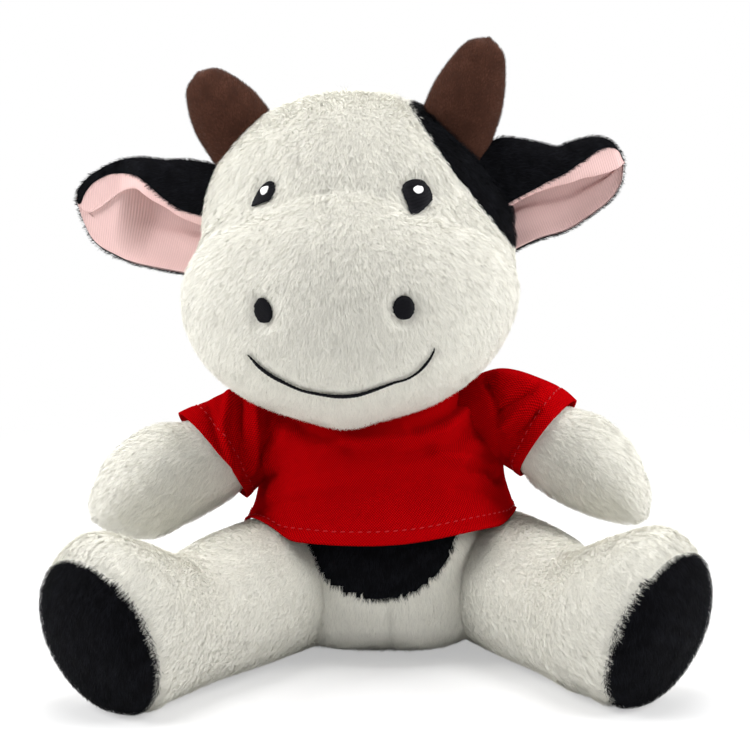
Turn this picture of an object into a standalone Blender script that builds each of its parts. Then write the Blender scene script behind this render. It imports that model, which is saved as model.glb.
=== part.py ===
"""A seated plush cow in a sewn shirt: stuffed skins, fillings, embroidery and cloth, as separate pieces.

Metres, +Z up. The toy faces -Y and sits on z = 0, and its own left side is at +X.
"""

from collections import namedtuple
from math import cos, hypot, radians, sin, tan

import bmesh
import bpy
from mathutils import Matrix, Vector
from mathutils.bvhtree import BVHTree

# Fabric and clearances
PLUSH = 0.003
JERSEY = 0.001
GAP = 0.0003
FABRIC_GAP = 0.0004
SWING_CLEARANCE = 0.0007
SETTLE = 0.0005
OVERRUN = 0.05

# Body, standing on its flat underside
BODY_HEIGHT = 0.098
BODY_WIDTH = 0.084
BODY_DEPTH = 0.076
BODY_LEAN = radians(4.0)
NECK_SHIFT = 0.0065
NECK_RADIUS = 0.020
NECK_EASE = 0.0011

# Each row of the body: share of its height, of its half width and of its half depth
BODY_SHARES = (
    (0.045, 0.74, 0.74),
    (0.17, 0.97, 0.97),
    (0.33, 1.0, 1.0),
    (0.50, 0.90, 0.90),
    (0.65, 0.81, 0.79),
    (0.78, 0.74, 0.70),
    (0.88, 0.60, 0.59),
)
NECK_RING_SHARE = 0.96

BELLY_RADIUS = 0.026
BELLY_HEIGHT = 0.0505

# Shirt, from its hem on the thighs to its collar below the neck's top, and how loosely it lies over the body
HEM_BELOW_THIGH = 0.0028
COLLAR_DROP = 0.0095
SHIRT_EASE = 0.005
# Each row of the shirt: share of the way from hem to collar, and of the ease at its sides and at its front
SHIRT_SHARES = (
    (-0.17, 0.62, 0.50),
    (0.067, 1.0, 0.58),
    (0.347, 0.86, 0.58),
    (0.627, 0.96, 0.74),
    (0.864, 0.98, 0.64),
    (1.036, 0.56, 0.44),
)
SHIRT_TOP_SHARE = 1.11
SHIRT_FOOT_SHARE = -0.30

# Head: two ovals about its own centre, the lower one sunk over the neck
HEAD_ASIDE = 0.0045
HEAD_SINK = 0.005
HEAD_YAW = radians(-4.5)
HEAD_ROLL = radians(-2.0)
CRANIUM_WIDTH = 0.099
CRANIUM_DEPTH = 0.090
CRANIUM_HEIGHT = 0.092
CRANIUM_BACK = 0.005
CRANIUM_RISE = 0.006
MUZZLE_WIDTH = 0.107
MUZZLE_DEPTH = 0.076
MUZZLE_HEIGHT = 0.080
MUZZLE_AHEAD = 0.020
MUZZLE_DROP = 0.0145
HEAD_BLEND = 0.008
MUZZLE_SEAM_BACK = 0.005
MUZZLE_SEAM_DROP = 0.016
MUZZLE_SEAM_TILT = radians(43.5)
PATCH_TILT = radians(35.0)
PATCH_DEPTH = 0.0086
CHIN_CLEARANCE = 0.0025

# Embroidery
STITCHING = 0.0008
EYE_SPACING = 0.0483
EYE_RISE = 0.0205
EYE_WIDTH = 0.0086
EYE_HEIGHT = 0.0098
GLINT_WIDTH = 0.0028
GLINT_RISE = 0.0012
NOSTRIL_SPACING = 0.0428
NOSTRIL_DROP = 0.0130
NOSTRIL_WIDTH = 0.0063
NOSTRIL_HEIGHT = 0.0076
MOUTH_WIDTH = 0.0575
MOUTH_DROP = 0.0280
MOUTH_SAG = 0.0130
MOUTH_THREAD = 0.0009
MOUTH_STEPS = 20

# Horns: the lean outwards differs, as it does on a hand-sewn toy
HORN_PLACE = radians(46.0)
HORN_LENGTH = {"left": 0.031, "right": 0.0245}
HORN_LEAN = {"left": radians(22.0), "right": radians(33.0)}
HORN_ROOT = 0.010
HORN_WIDTH = 0.0255
HORN_DEPTH = 0.020
HORN_PLUSH = 0.0015
# Each row of a horn: share of its length and of its half width
HORN_SHARES = ((0.0, 1.0), (0.35, 0.95), (0.65, 0.76), (0.88, 0.50))

# Ears
EAR_LENGTH = 0.0425
EAR_HEIGHT = 0.0400
EAR_ROOT = 0.008
EAR_PLUSH = 0.0022
EAR_RISE = {"left": radians(17.0), "right": radians(8.0)}
EAR_PLACE = {"left": radians(80.0), "right": radians(82.0)}
EAR_BACK_SWEEP = radians(12.0)
EAR_CUP = radians(28.0)
EAR_FOLD_ROOT = radians(150.0)
EAR_FOLD_TIP = radians(70.0)
EAR_FOLD_POWER = 1.5
# How far each layer reaches across the ear, as shares of its half height
EAR_BACK_SPAN_SHARES = (-1.0, 1.0)
EAR_LINING_SPAN_SHARES = (-0.88, 0.70)
# Half height of the ear at even steps from its root to its tip, as shares of the largest
EAR_SHARES = (0.74, 0.86, 0.95, 1.0, 0.99, 0.92, 0.76, 0.42)
EAR_STEPS_ACROSS = 8
EAR_FOLD_STEPS = 24

# Arms
SHOULDER_OUT = 0.0045
SHOULDER_FORWARD = 0.003
SHOULDER_DROP = 0.023
ARM_REACH = 0.0433
ARM_DROOP = radians(20.5)
ARM_FORWARD = radians(21.5)
ARM_ROOT_RADIUS = 0.0125
HAND_RADIUS = 0.0158
ARM_ROOT = 0.012
ARM_FILL_START = 0.006
SLEEVE_LENGTH = 0.0165
SLEEVE_EASE = 0.0006
SLEEVE_FLARE = 0.0007
SLEEVE_ROWS = 4
# Each row of an arm: share of its reach, and how far it has grown from root to hand
ARM_SHARES = (
    (-0.12, 0.0),
    (0.10, 0.10),
    (0.33, 0.45),
    (0.60, 0.80),
    (0.85, 1.0),
    (1.06, 0.97),
    (1.23, 0.74),
)

# Legs: where each hip lies, and how far out from straight ahead its leg and its sole point
HIP_OUT = {"left": 0.030, "right": 0.026}
HIP_BACK = {"left": 0.0065, "right": -0.005}
LEG_TURN = {"left": radians(29), "right": radians(37)}
SOLE_TURN = {"left": radians(50), "right": radians(42)}
SOLE_TILT = radians(18)
LEG_REACH = 0.108
LEG_ROOT = 0.010
FOOT_HEIGHT = 0.0580
FOOT_WIDTH = 0.0510
SOLE_FROM_TIP = 0.0118
# How much of a slimmer row's missing height comes off below it
ANKLE_LIFT_SHARE = 0.15
# Where the foot's rows begin to follow the way that its sole faces, and where they are widest
FOOT_FROM_SHARE = 0.70
FOOT_WIDEST_SHARE = 0.81
# Each row of a leg: share of its reach, of the foot's half width and half height, and of the sole's turn
LEG_SHARES = (
    (0.00, 0.84, 0.78, 0.0),
    (0.16, 0.90, 0.81, 0.0),
    (0.34, 0.92, 0.76, 0.1),
    (0.54, 0.86, 0.71, 0.3),
    (0.70, 0.92, 0.87, 0.7),
    (0.81, 1.00, 1.00, 0.9),
    (0.905, 0.97, 0.94, 1.0),
    (0.97, 0.70, 0.68, 1.0),
)

# Tail
TAIL_HEIGHT = 0.026
TAIL_RADIUS = 0.0036
TAIL_BACK = 0.026
TAIL_ASIDE = 0.008
TUFT_RADIUS = 0.0075
TUFT_LENGTH = 0.026
# Each point of the tail: share of its reach backwards and of its drift aside
TAIL_SHARES = ((0.0, 0.0), (0.2, 0.05), (0.45, 0.2), (0.7, 0.5), (1.0, 1.0))
# Width of the tuft at even steps along it
TUFT_SHARES = (0.55, 0.9, 1.0, 0.7)

# How far the sewn joints flex
NECK_TURN = radians(12)
ARM_LIFT = radians(30)
LEG_SWING = radians(8)
EAR_FLAP = radians(12)
TAIL_SWING = radians(25)
# Where along a joint's travel its clearances are cut
SWING_SHARES = (-1.0, 0.0, 1.0)
LIFT_SHARES = (0.0, 0.34, 0.67, 1.0)
ARMHOLE_LIFT_SHARES = (0.5, 1.0)

# How finely the forms are divided
LIMB_SIDES = 10
BODY_SIDES = 12
SMALL_SIDES = 8
HEAD_CUTS = 4
PAD_SIDES = 12
CUTTER_SIDES = 32
CAGE_FITS = 3
SIDES = {"left": 1, "right": -1}

FABRIC_ROUGHNESS = 0.95
Form = namedtuple("Form", "skin core")

white_plush = ("white_plush", (0.83, 0.84, 0.80))
black_plush = ("black_plush", (0.012, 0.013, 0.018))
brown_plush = ("brown_plush", (0.055, 0.022, 0.014))
pink_knit = ("pink_knit", (0.80, 0.49, 0.50))
red_jersey = ("red_jersey", (0.55, 0.006, 0.010))
fibre_filling = ("fibre_filling", (0.90, 0.90, 0.88))
dark_thread = ("dark_thread", (0.02, 0.02, 0.022))
white_thread = ("white_thread", (0.90, 0.90, 0.90))


def clear_scene():
    for old in list(bpy.data.objects):
        bpy.data.objects.remove(old, do_unlink=True)


def material(finish):
    name, colour = finish
    made = bpy.data.materials.get(name) or bpy.data.materials.new(name)
    made.use_nodes = True
    shader = made.node_tree.nodes["Principled BSDF"]
    shader.inputs["Base Color"].default_value = (*colour, 1.0)
    shader.inputs["Roughness"].default_value = FABRIC_ROUGHNESS
    shader.inputs["Metallic"].default_value = 0.0
    return made


def collection(name):
    made = bpy.data.collections.new(name)
    bpy.context.scene.collection.children.link(made)
    return made


def mesh_from(bm):
    """The mesh with its faces pointing out."""
    bmesh.ops.recalc_face_normals(bm, faces=bm.faces)
    if bm.calc_volume(signed=True) < 0:
        bmesh.ops.reverse_faces(bm, faces=bm.faces)
    mesh = bpy.data.meshes.new("form")
    bm.to_mesh(mesh)
    bm.free()
    return mesh


def evaluated_mesh(obj):
    bpy.context.view_layer.update()
    graph = bpy.context.evaluated_depsgraph_get()
    return bpy.data.meshes.new_from_object(obj.evaluated_get(graph), depsgraph=graph)


def in_triangles(mesh):
    """A copy in triangles, so that copies of it at other depths bend along the same lines."""
    bm = bmesh.new()
    bm.from_mesh(mesh)
    bmesh.ops.triangulate(bm, faces=bm.faces)
    copy = bpy.data.meshes.new("core")
    bm.to_mesh(copy)
    bm.free()
    return copy


def soft_form(cage):
    """The outside of a soft form, one subdivision of its cage that passes through the cage's own points.

    The second mesh is the plain cage, which is enough for what is inside a skin.
    """
    core = in_triangles(cage)
    wanted = [vertex.co.copy() for vertex in cage.vertices]
    holder = bpy.data.objects.new("cage", cage)
    bpy.context.scene.collection.objects.link(holder)
    subdivision = holder.modifiers.new("smooth", "SUBSURF")
    subdivision.levels = subdivision.render_levels = 1
    for _ in range(CAGE_FITS):
        smooth = evaluated_mesh(holder)
        for vertex, place, now in zip(cage.vertices, wanted, smooth.vertices):
            vertex.co += place - now.co
    smooth = in_triangles(evaluated_mesh(holder))
    bpy.data.objects.remove(holder, do_unlink=True)
    return Form(smooth, core)


def ring_form(first_pole, rings, last_pole, sides):
    """A closed form through rings, each a centre with its two half axes, and a pole at each end."""
    bm = bmesh.new()
    bmesh.ops.create_uvsphere(bm, u_segments=sides, v_segments=len(rings) + 1, radius=1.0)
    levels = sorted({round(vertex.co.z, 5) for vertex in bm.verts})
    for vertex in bm.verts:
        level = levels.index(round(vertex.co.z, 5))
        if level == 0:
            vertex.co = first_pole
        elif level == len(levels) - 1:
            vertex.co = last_pole
        else:
            centre, across, upwards = rings[level - 1]
            around = Vector((vertex.co.x, vertex.co.y)).normalized()
            vertex.co = centre + across * around.x + upwards * around.y
    return soft_form(mesh_from(bm))


def grown(mesh, distance):
    """A copy of a smooth form, moved out along its normals, or in where the distance is negative."""
    copy = mesh.copy()
    normals = [vertex.normal.copy() for vertex in mesh.vertices]
    for vertex, normal in zip(copy.vertices, normals):
        vertex.co += normal * distance
    return copy


def turned(mesh, pivot, axis, angle):
    copy = mesh.copy()
    copy.transform(Matrix.Translation(pivot) @ Matrix.Rotation(angle, 4, axis) @ Matrix.Translation(-pivot))
    return copy


def box(low, high, place=None):
    """A box between two corners, bent or turned afterwards by a function of a point."""
    bm = bmesh.new()
    bmesh.ops.create_cube(bm, size=1.0)
    for vertex in bm.verts:
        corner = Vector([(low[i] + high[i]) / 2 + (high[i] - low[i]) * vertex.co[i] for i in range(3)])
        vertex.co = place(corner) if place else corner
    return mesh_from(bm)


def cylinder(start, end, radius):
    bm = bmesh.new()
    length = (end - start).length
    bmesh.ops.create_cone(
        bm, cap_ends=True, segments=CUTTER_SIDES, radius1=radius, radius2=radius, depth=length
    )
    turn = (end - start).to_track_quat("Z", "Y").to_matrix().to_4x4()
    bm.transform(Matrix.Translation((start + end) / 2) @ turn)
    return mesh_from(bm)


def lean(point):
    """The body leans to its right: its rings tilt and drift aside, more and more up to the neck."""
    share = min(max(point.z / BODY_HEIGHT, 0.0), 1.0)
    return Vector(
        (
            point.x - NECK_SHIFT * share**2,
            point.y,
            point.z + tan(BODY_LEAN) * point.x * share,
        )
    )


clear_scene()
parts = collection("plush_cow")
cutters = collection("cutters")
holders = {}


def joint_holder(name, place, parent=None):
    """An empty on a joint's axis, which carries what moves with it."""
    empty = bpy.data.objects.new(name + "_pivot", None)
    parts.objects.link(empty)
    empty.empty_display_size = NECK_RADIUS
    if parent:
        empty.parent = holders[parent][0]
        empty.location = place - holders[parent][1]
    else:
        empty.location = place
    holders[name] = (empty, place)


def part(name, mesh, finish, holder):
    """A named piece, with its origin on the axis that it moves about."""
    empty, place = holders[holder]
    mesh = mesh.copy()
    mesh.name = name
    mesh.transform(Matrix.Translation(-place))
    mesh.materials.clear()
    mesh.materials.append(material(finish))
    mesh.shade_smooth()
    obj = bpy.data.objects.new(name, mesh)
    parts.objects.link(obj)
    obj.parent = empty
    return obj


def cutter(name, mesh):
    obj = bpy.data.objects.new(name, mesh)
    cutters.objects.link(obj)
    obj.hide_render = True
    obj.display_type = "WIRE"
    return obj


def cut(obj, tool, operation="DIFFERENCE", solver="EXACT"):
    modifier = obj.modifiers.new(tool.name, "BOOLEAN")
    modifier.operation = operation
    modifier.solver = solver
    modifier.object = tool


def leaning_ring(height, half_width, half_depth):
    centre = Vector((0, 0, height * BODY_HEIGHT))
    across = lean(centre + Vector((half_width, 0, 0))) - lean(centre)
    return lean(centre), across, Vector((0, half_depth, 0))


BODY_RINGS = [
    *((height, BODY_WIDTH / 2 * width, BODY_DEPTH / 2 * depth) for height, width, depth in BODY_SHARES),
    (NECK_RING_SHARE, NECK_RADIUS, NECK_RADIUS),
]


def body_half(height):
    """The body's half width and half depth at a share of its height, between its two nearest rows."""
    for below, above in zip(BODY_RINGS, BODY_RINGS[1:]):
        if height <= above[0]:
            break
    along = (height - below[0]) / (above[0] - below[0])
    return [below[i] + (above[i] - below[i]) * along for i in (1, 2)]


def body_form():
    placed = [leaning_ring(*ring) for ring in BODY_RINGS]
    return ring_form(Vector((0, 0, -SETTLE)), placed, lean(Vector((0, 0, BODY_HEIGHT))), BODY_SIDES)


def thigh_top():
    height = LEG_SHARES[0][2]
    return FOOT_HEIGHT * (height + (1 - height) / 2 * ANKLE_LIFT_SHARE) - SETTLE


HEM_HEIGHT = thigh_top() - HEM_BELOW_THIGH
COLLAR_HEIGHT = BODY_HEIGHT - COLLAR_DROP


def shirt_height(share):
    return HEM_HEIGHT + (COLLAR_HEIGHT - HEM_HEIGHT) * share


def shirt_form():
    placed = []
    for share, side_ease, front_ease in SHIRT_SHARES:
        height = shirt_height(share) / BODY_HEIGHT
        half_width, half_depth = body_half(height)
        placed.append(
            leaning_ring(height, half_width + SHIRT_EASE * side_ease, half_depth + SHIRT_EASE * front_ease)
        )
    foot = lean(Vector((0, 0, shirt_height(SHIRT_FOOT_SHARE))))
    top = lean(Vector((0, 0, shirt_height(SHIRT_TOP_SHARE))))
    return ring_form(foot, placed, top, BODY_SIDES)


def ellipsoid_reach(direction, centre, half):
    """How far a ray from the head's centre runs before it leaves the ellipsoid."""
    d = Vector([direction[i] / half[i] for i in range(3)])
    c = Vector([centre[i] / half[i] for i in range(3)])
    along = d.dot(c)
    return (along + (along**2 - d.dot(d) * (c.dot(c) - 1.0)) ** 0.5) / d.dot(d)


CRANIUM_HALF = Vector((CRANIUM_WIDTH, CRANIUM_DEPTH, CRANIUM_HEIGHT)) / 2
CRANIUM_CENTRE = Vector((0, CRANIUM_BACK, CRANIUM_RISE))
MUZZLE_HALF = Vector((MUZZLE_WIDTH, MUZZLE_DEPTH, MUZZLE_HEIGHT)) / 2
MUZZLE_CENTRE = Vector((0, -MUZZLE_AHEAD, -MUZZLE_DROP))


def head_reach(direction):
    cranium = ellipsoid_reach(direction, CRANIUM_CENTRE, CRANIUM_HALF)
    muzzle = ellipsoid_reach(direction, MUZZLE_CENTRE, MUZZLE_HALF)
    nearness = max(HEAD_BLEND - abs(cranium - muzzle), 0.0) / HEAD_BLEND
    return max(cranium, muzzle) + nearness**2 * HEAD_BLEND / 4


NECK_TOP = lean(Vector((0, 0, BODY_HEIGHT)))
PATCH_OUT = (
    hypot(CRANIUM_HALF.x * cos(PATCH_TILT), CRANIUM_HALF.z * sin(PATCH_TILT))
    + CRANIUM_RISE * sin(PATCH_TILT)
    - PATCH_DEPTH
)
HEAD_CENTRE = NECK_TOP + Vector((-HEAD_ASIDE, 0, CRANIUM_HALF.z - CRANIUM_RISE - HEAD_SINK))
HEAD_FRAME = (
    Matrix.Translation(HEAD_CENTRE)
    @ Matrix.Rotation(HEAD_YAW, 4, "Z")
    @ Matrix.Rotation(HEAD_ROLL, 4, "Y")
)


def in_head(point):
    return HEAD_FRAME @ point


def head_form():
    bm = bmesh.new()
    bmesh.ops.create_cube(bm, size=2.0)
    bmesh.ops.subdivide_edges(bm, edges=bm.edges, cuts=HEAD_CUTS, use_grid_fill=True)
    for vertex in bm.verts:
        direction = vertex.co.normalized()
        vertex.co = in_head(direction * head_reach(direction))
    return soft_form(mesh_from(bm))


def horn_form(side, root):
    sign = SIDES[side]
    base = CRANIUM_CENTRE + Vector(
        (sign * CRANIUM_HALF.x * sin(HORN_PLACE), 0, CRANIUM_HALF.z * cos(HORN_PLACE))
    )
    along = Vector((sign * sin(HORN_LEAN[side]), 0, cos(HORN_LEAN[side])))
    across = Vector((cos(HORN_LEAN[side]), 0, -sign * sin(HORN_LEAN[side])))
    turn = HEAD_FRAME.to_3x3()
    length = HORN_LENGTH[side]
    rings = []
    for reach, width in ((-root / length, 1.0), *HORN_SHARES):
        centre = in_head(base + along * reach * length)
        half_depth = Vector((0, HORN_DEPTH / 2 * width, 0))
        rings.append((centre, turn @ across * HORN_WIDTH / 2 * width, turn @ half_depth))
    start = in_head(base - along * (root + HORN_DEPTH / 4))
    return ring_form(start, rings, in_head(base + along * length), SMALL_SIDES)


def shoulder(side):
    height = BODY_HEIGHT - SHOULDER_DROP
    out = body_half(height / BODY_HEIGHT)[0] + SHOULDER_OUT
    return lean(Vector((SIDES[side] * out, -SHOULDER_FORWARD, height)))


def limb_axes(along):
    across = along.cross(Vector((0, 0, 1))).normalized()
    return across, across.cross(along).normalized()


def arm_direction(side):
    level = cos(ARM_DROOP)
    return Vector((SIDES[side] * level * cos(ARM_FORWARD), -level * sin(ARM_FORWARD), -sin(ARM_DROOP)))


def arm_radius(growth):
    return ARM_ROOT_RADIUS + (HAND_RADIUS - ARM_ROOT_RADIUS) * growth


def arm_rings(side, rows):
    along = arm_direction(side)
    across, upwards = limb_axes(along)
    rings = []
    for reach, growth in rows:
        radius = arm_radius(growth)
        rings.append((shoulder(side) + along * ARM_REACH * reach, across * radius, upwards * radius))
    return rings


def arm_form(side):
    along = arm_direction(side)
    start = shoulder(side) - along * ARM_ROOT
    tip = shoulder(side) + along * (ARM_REACH + HAND_RADIUS)
    return ring_form(start, arm_rings(side, ARM_SHARES), tip, LIMB_SIDES)


def upper_arm_form(side):
    """The stretch of the arm that its sleeve covers, with plain ends past the sleeve's."""
    along = arm_direction(side)
    rings = arm_rings(side, ARM_SHARES[:SLEEVE_ROWS])
    start = shoulder(side) - along * ARM_ROOT
    return ring_form(start, rings, rings[-1][0] + along * HAND_RADIUS / 2, LIMB_SIDES)


def hip(side):
    return Vector((SIDES[side] * HIP_OUT[side], HIP_BACK[side], 0))


def leg_facing(side, share):
    """The way a row of the leg faces: level along the leg at the hip, turned out and down at the sole."""
    turn = LEG_TURN[side] + (SOLE_TURN[side] - LEG_TURN[side]) * share
    level = cos(SOLE_TILT * share)
    return Vector((SIDES[side] * level * sin(turn), -level * cos(turn), -sin(SOLE_TILT * share)))


def leg_centre(side, reach):
    """The middle of the leg at a share of its reach; past the foot's widest row it drops with the sole."""
    in_leg = min(reach, FOOT_FROM_SHARE)
    centre = hip(side) + leg_facing(side, 0) * LEG_REACH * in_leg
    centre += leg_facing(side, 1) * LEG_REACH * (reach - in_leg)
    drop = sin(SOLE_TILT) * LEG_REACH * (reach - FOOT_WIDEST_SHARE)
    centre.z = FOOT_HEIGHT / 2 * cos(SOLE_TILT) - max(drop, 0) - SETTLE
    return centre


def leg_form(side):
    """A leg along the floor, whose slimmer rows rise off it a little."""
    rings = []
    for reach, width, height, turn in LEG_SHARES:
        facing = leg_facing(side, turn)
        across, upwards = limb_axes(facing)
        half_height = FOOT_HEIGHT / 2 * height
        centre = leg_centre(side, reach)
        if reach <= FOOT_WIDEST_SHARE:
            lift = FOOT_HEIGHT / 2 * (1 - height) * ANKLE_LIFT_SHARE
            centre.z = half_height * upwards.z + lift - SETTLE
        rings.append((centre, across * FOOT_WIDTH / 2 * width, upwards * half_height))
    start = leg_centre(side, -LEG_ROOT / LEG_REACH)
    return settled(ring_form(start, rings, leg_centre(side, 1), LIMB_SIDES))


def settled(form):
    """The form lowered so that the floor cuts its lowest point flat."""
    lowest = min(vertex.co.z for vertex in form.skin.vertices)
    for mesh in form:
        mesh.transform(Matrix.Translation((0, 0, -SETTLE - lowest)))
    return form


def ear_frame(side):
    """The ear's root on the cranium, and its directions: along it, upwards across it, and forwards."""
    sign = SIDES[side]
    place = EAR_PLACE[side]
    root = CRANIUM_CENTRE + Vector((sign * CRANIUM_HALF.x * sin(place), 0, CRANIUM_HALF.z * cos(place)))
    rise = EAR_RISE[side]
    level = cos(rise)
    along = Vector((sign * level * cos(EAR_BACK_SWEEP), level * sin(EAR_BACK_SWEEP), sin(rise)))
    forwards = Vector((0, -1, 0))
    forwards = (forwards - along * forwards.dot(along)).normalized()
    upwards = along.cross(forwards) * -sign
    turn = HEAD_FRAME.to_3x3()
    return in_head(root), turn @ along, turn @ upwards, turn @ forwards


def ear_sheet(side, span_shares, inset):
    """An open sheet: cupped below, with its upper edge folded forwards, less so towards the tip.

    Its normals point into the cup.
    """
    root, along, upwards, forwards = ear_frame(side)
    bm = bmesh.new()
    steps_along = len(EAR_SHARES) - 1
    bmesh.ops.create_grid(bm, x_segments=steps_along, y_segments=EAR_STEPS_ACROSS, size=1.0)
    for vertex in bm.verts:
        u = (vertex.co.x + 1) / 2
        v = span_shares[0] + (span_shares[1] - span_shares[0]) * (vertex.co.y + 1) / 2
        half = EAR_HEIGHT / 2 * EAR_SHARES[round(u * steps_along)]
        fold = EAR_FOLD_ROOT + (EAR_FOLD_TIP - EAR_FOLD_ROOT) * u
        reach = -EAR_ROOT + (EAR_LENGTH - inset + EAR_ROOT) * u
        up = forward = 0.0
        for step in range(EAR_FOLD_STEPS):
            t = v * (step + 0.5) / EAR_FOLD_STEPS
            bend = fold * t**EAR_FOLD_POWER if t > 0 else EAR_CUP * t
            up += cos(bend) * half * v / EAR_FOLD_STEPS
            forward += sin(bend) * half * v / EAR_FOLD_STEPS
        vertex.co = root + along * reach + upwards * up + forwards * forward
    bm.normal_update()
    if sum(face.normal.dot(forwards) for face in bm.faces) < 0:
        bmesh.ops.reverse_faces(bm, faces=bm.faces)
    mesh = bpy.data.meshes.new("sheet")
    bm.to_mesh(mesh)
    bm.free()
    return mesh


def solid_sheet(mesh, thickness, offset):
    """The sheet with its thickness, as a closed mesh."""
    holder = bpy.data.objects.new("sheet", mesh)
    bpy.context.scene.collection.objects.link(holder)
    solid = holder.modifiers.new("thickness", "SOLIDIFY")
    solid.thickness = thickness
    solid.offset = offset
    solid.use_even_offset = True
    made = evaluated_mesh(holder)
    bpy.data.objects.remove(holder, do_unlink=True)
    return made


def surface_tree(mesh):
    return BVHTree.FromPolygons(
        [vertex.co.copy() for vertex in mesh.vertices], [tuple(face.vertices) for face in mesh.polygons]
    )


def lay_on(surface, centre, point):
    """Drops a point of the face, given in the head's own frame, onto the surface along the head's depth."""
    start = in_head(Vector((centre.x + point.x, -OVERRUN * 2, centre.z + point.z)))
    direction = HEAD_FRAME.to_3x3() @ Vector((0, 1, 0))
    hit, normal, _, _ = surface.ray_cast(start, direction)
    return hit, normal


def embroidered_pad(surface, centre, width, height, lift=0.0):
    """A thin oval pad that lies on the surface."""
    bm = bmesh.new()
    bmesh.ops.create_circle(bm, cap_ends=True, cap_tris=True, segments=PAD_SIDES, radius=1.0)
    for vertex in bm.verts:
        flat = Vector((vertex.co.x * width / 2, 0, vertex.co.y * height / 2))
        hit, normal = lay_on(surface, centre, flat)
        vertex.co = hit + normal * (GAP + lift)
    bmesh.ops.recalc_face_normals(bm, faces=bm.faces)
    outward = HEAD_FRAME.to_3x3() @ Vector((0, -1, 0))
    bm.normal_update()
    if sum(face.normal.dot(outward) for face in bm.faces) < 0:
        bmesh.ops.reverse_faces(bm, faces=bm.faces)
    mesh = bpy.data.meshes.new("pad")
    bm.to_mesh(mesh)
    bm.free()
    return solid_sheet(mesh, STITCHING, 1.0)


def thread_line(surface, points):
    """A sewn line as a round thread that lies on the surface."""
    curve = bpy.data.curves.new("thread", "CURVE")
    curve.dimensions = "3D"
    curve.bevel_depth = MOUTH_THREAD / 2
    curve.bevel_resolution = 1
    curve.use_fill_caps = True
    spline = curve.splines.new("POLY")
    spline.points.add(len(points) - 1)
    for place, point in zip(spline.points, points):
        hit, normal = lay_on(surface, Vector(), point)
        place.co = (*(hit + normal * (MOUTH_THREAD / 2 + GAP)), 1.0)
    holder = bpy.data.objects.new("thread", curve)
    bpy.context.scene.collection.objects.link(holder)
    made = evaluated_mesh(holder)
    bpy.data.objects.remove(holder, do_unlink=True)
    bm = bmesh.new()
    bm.from_mesh(made)
    bmesh.ops.remove_doubles(bm, verts=bm.verts, dist=GAP / 10)
    return mesh_from(bm)


def tail_tube(points, radius):
    rings = []
    for i, point in enumerate(points):
        ahead = points[min(i + 1, len(points) - 1)] - points[max(i - 1, 0)]
        across, upwards = limb_axes(ahead.normalized())
        rings.append((point, across * radius(i), upwards * radius(i)))
    first = points[0] - (points[1] - points[0]).normalized() * radius(0) / 2
    last = points[-1] + (points[-1] - points[-2]).normalized() * radius(len(points) - 1) / 2
    return ring_form(first, rings, last, SMALL_SIDES)


def make_body(body, shirt, armholes):
    floor = cutter("floor", box((-OVERRUN * 4, -OVERRUN * 4, -OVERRUN), (OVERRUN * 4, OVERRUN * 4, 0)))
    hollow = cutter("body_hollow", grown(body.core, -PLUSH))
    neck_cut = cutter(
        "neck_cut",
        box((-OVERRUN, -OVERRUN, BODY_HEIGHT - PLUSH), (OVERRUN, OVERRUN, BODY_HEIGHT + OVERRUN), lean),
    )
    belly_centre = lean(Vector((0, 0, BELLY_HEIGHT)))
    ahead = Vector((0, -OVERRUN * 2, 0))
    belly = cutter("belly_region", cylinder(belly_centre, belly_centre + ahead, BELLY_RADIUS))
    belly_seam = cutter("belly_seam", cylinder(belly_centre, belly_centre + ahead, BELLY_RADIUS + GAP))

    skin = part("body_skin", body.skin, white_plush, "body")
    patch = part("belly_patch", body.skin, black_plush, "body")
    for piece in (skin, patch):
        cut(piece, hollow)
        cut(piece, neck_cut)
        cut(piece, floor)
    cut(skin, belly_seam)
    cut(patch, belly, "INTERSECT")
    part("body_fill", grown(body.core, -PLUSH - FABRIC_GAP), fibre_filling, "body")

    inside = cutter("shirt_inside", grown(shirt.skin, -JERSEY))
    low = -OVERRUN * 2
    high = OVERRUN * 2
    below = cutter("below_hem", box((low, low, low), (high, high, HEM_HEIGHT), lean))
    above = cutter("above_collar", box((low, low, COLLAR_HEIGHT), (high, high, high + BODY_HEIGHT), lean))
    front_half = cutter("front_half", box((low, low, low), (high, GAP / 2, high * 2)))
    back_half = cutter("back_half", box((low, -GAP / 2, low), (high, high, high * 2)))
    for name, other_half in (("shirt_front", back_half), ("shirt_back", front_half)):
        panel = part(name, shirt.skin, red_jersey, "body")
        for tool in (inside, below, above, other_half, *armholes):
            cut(panel, tool, solver="MANIFOLD")
    return floor


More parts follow.
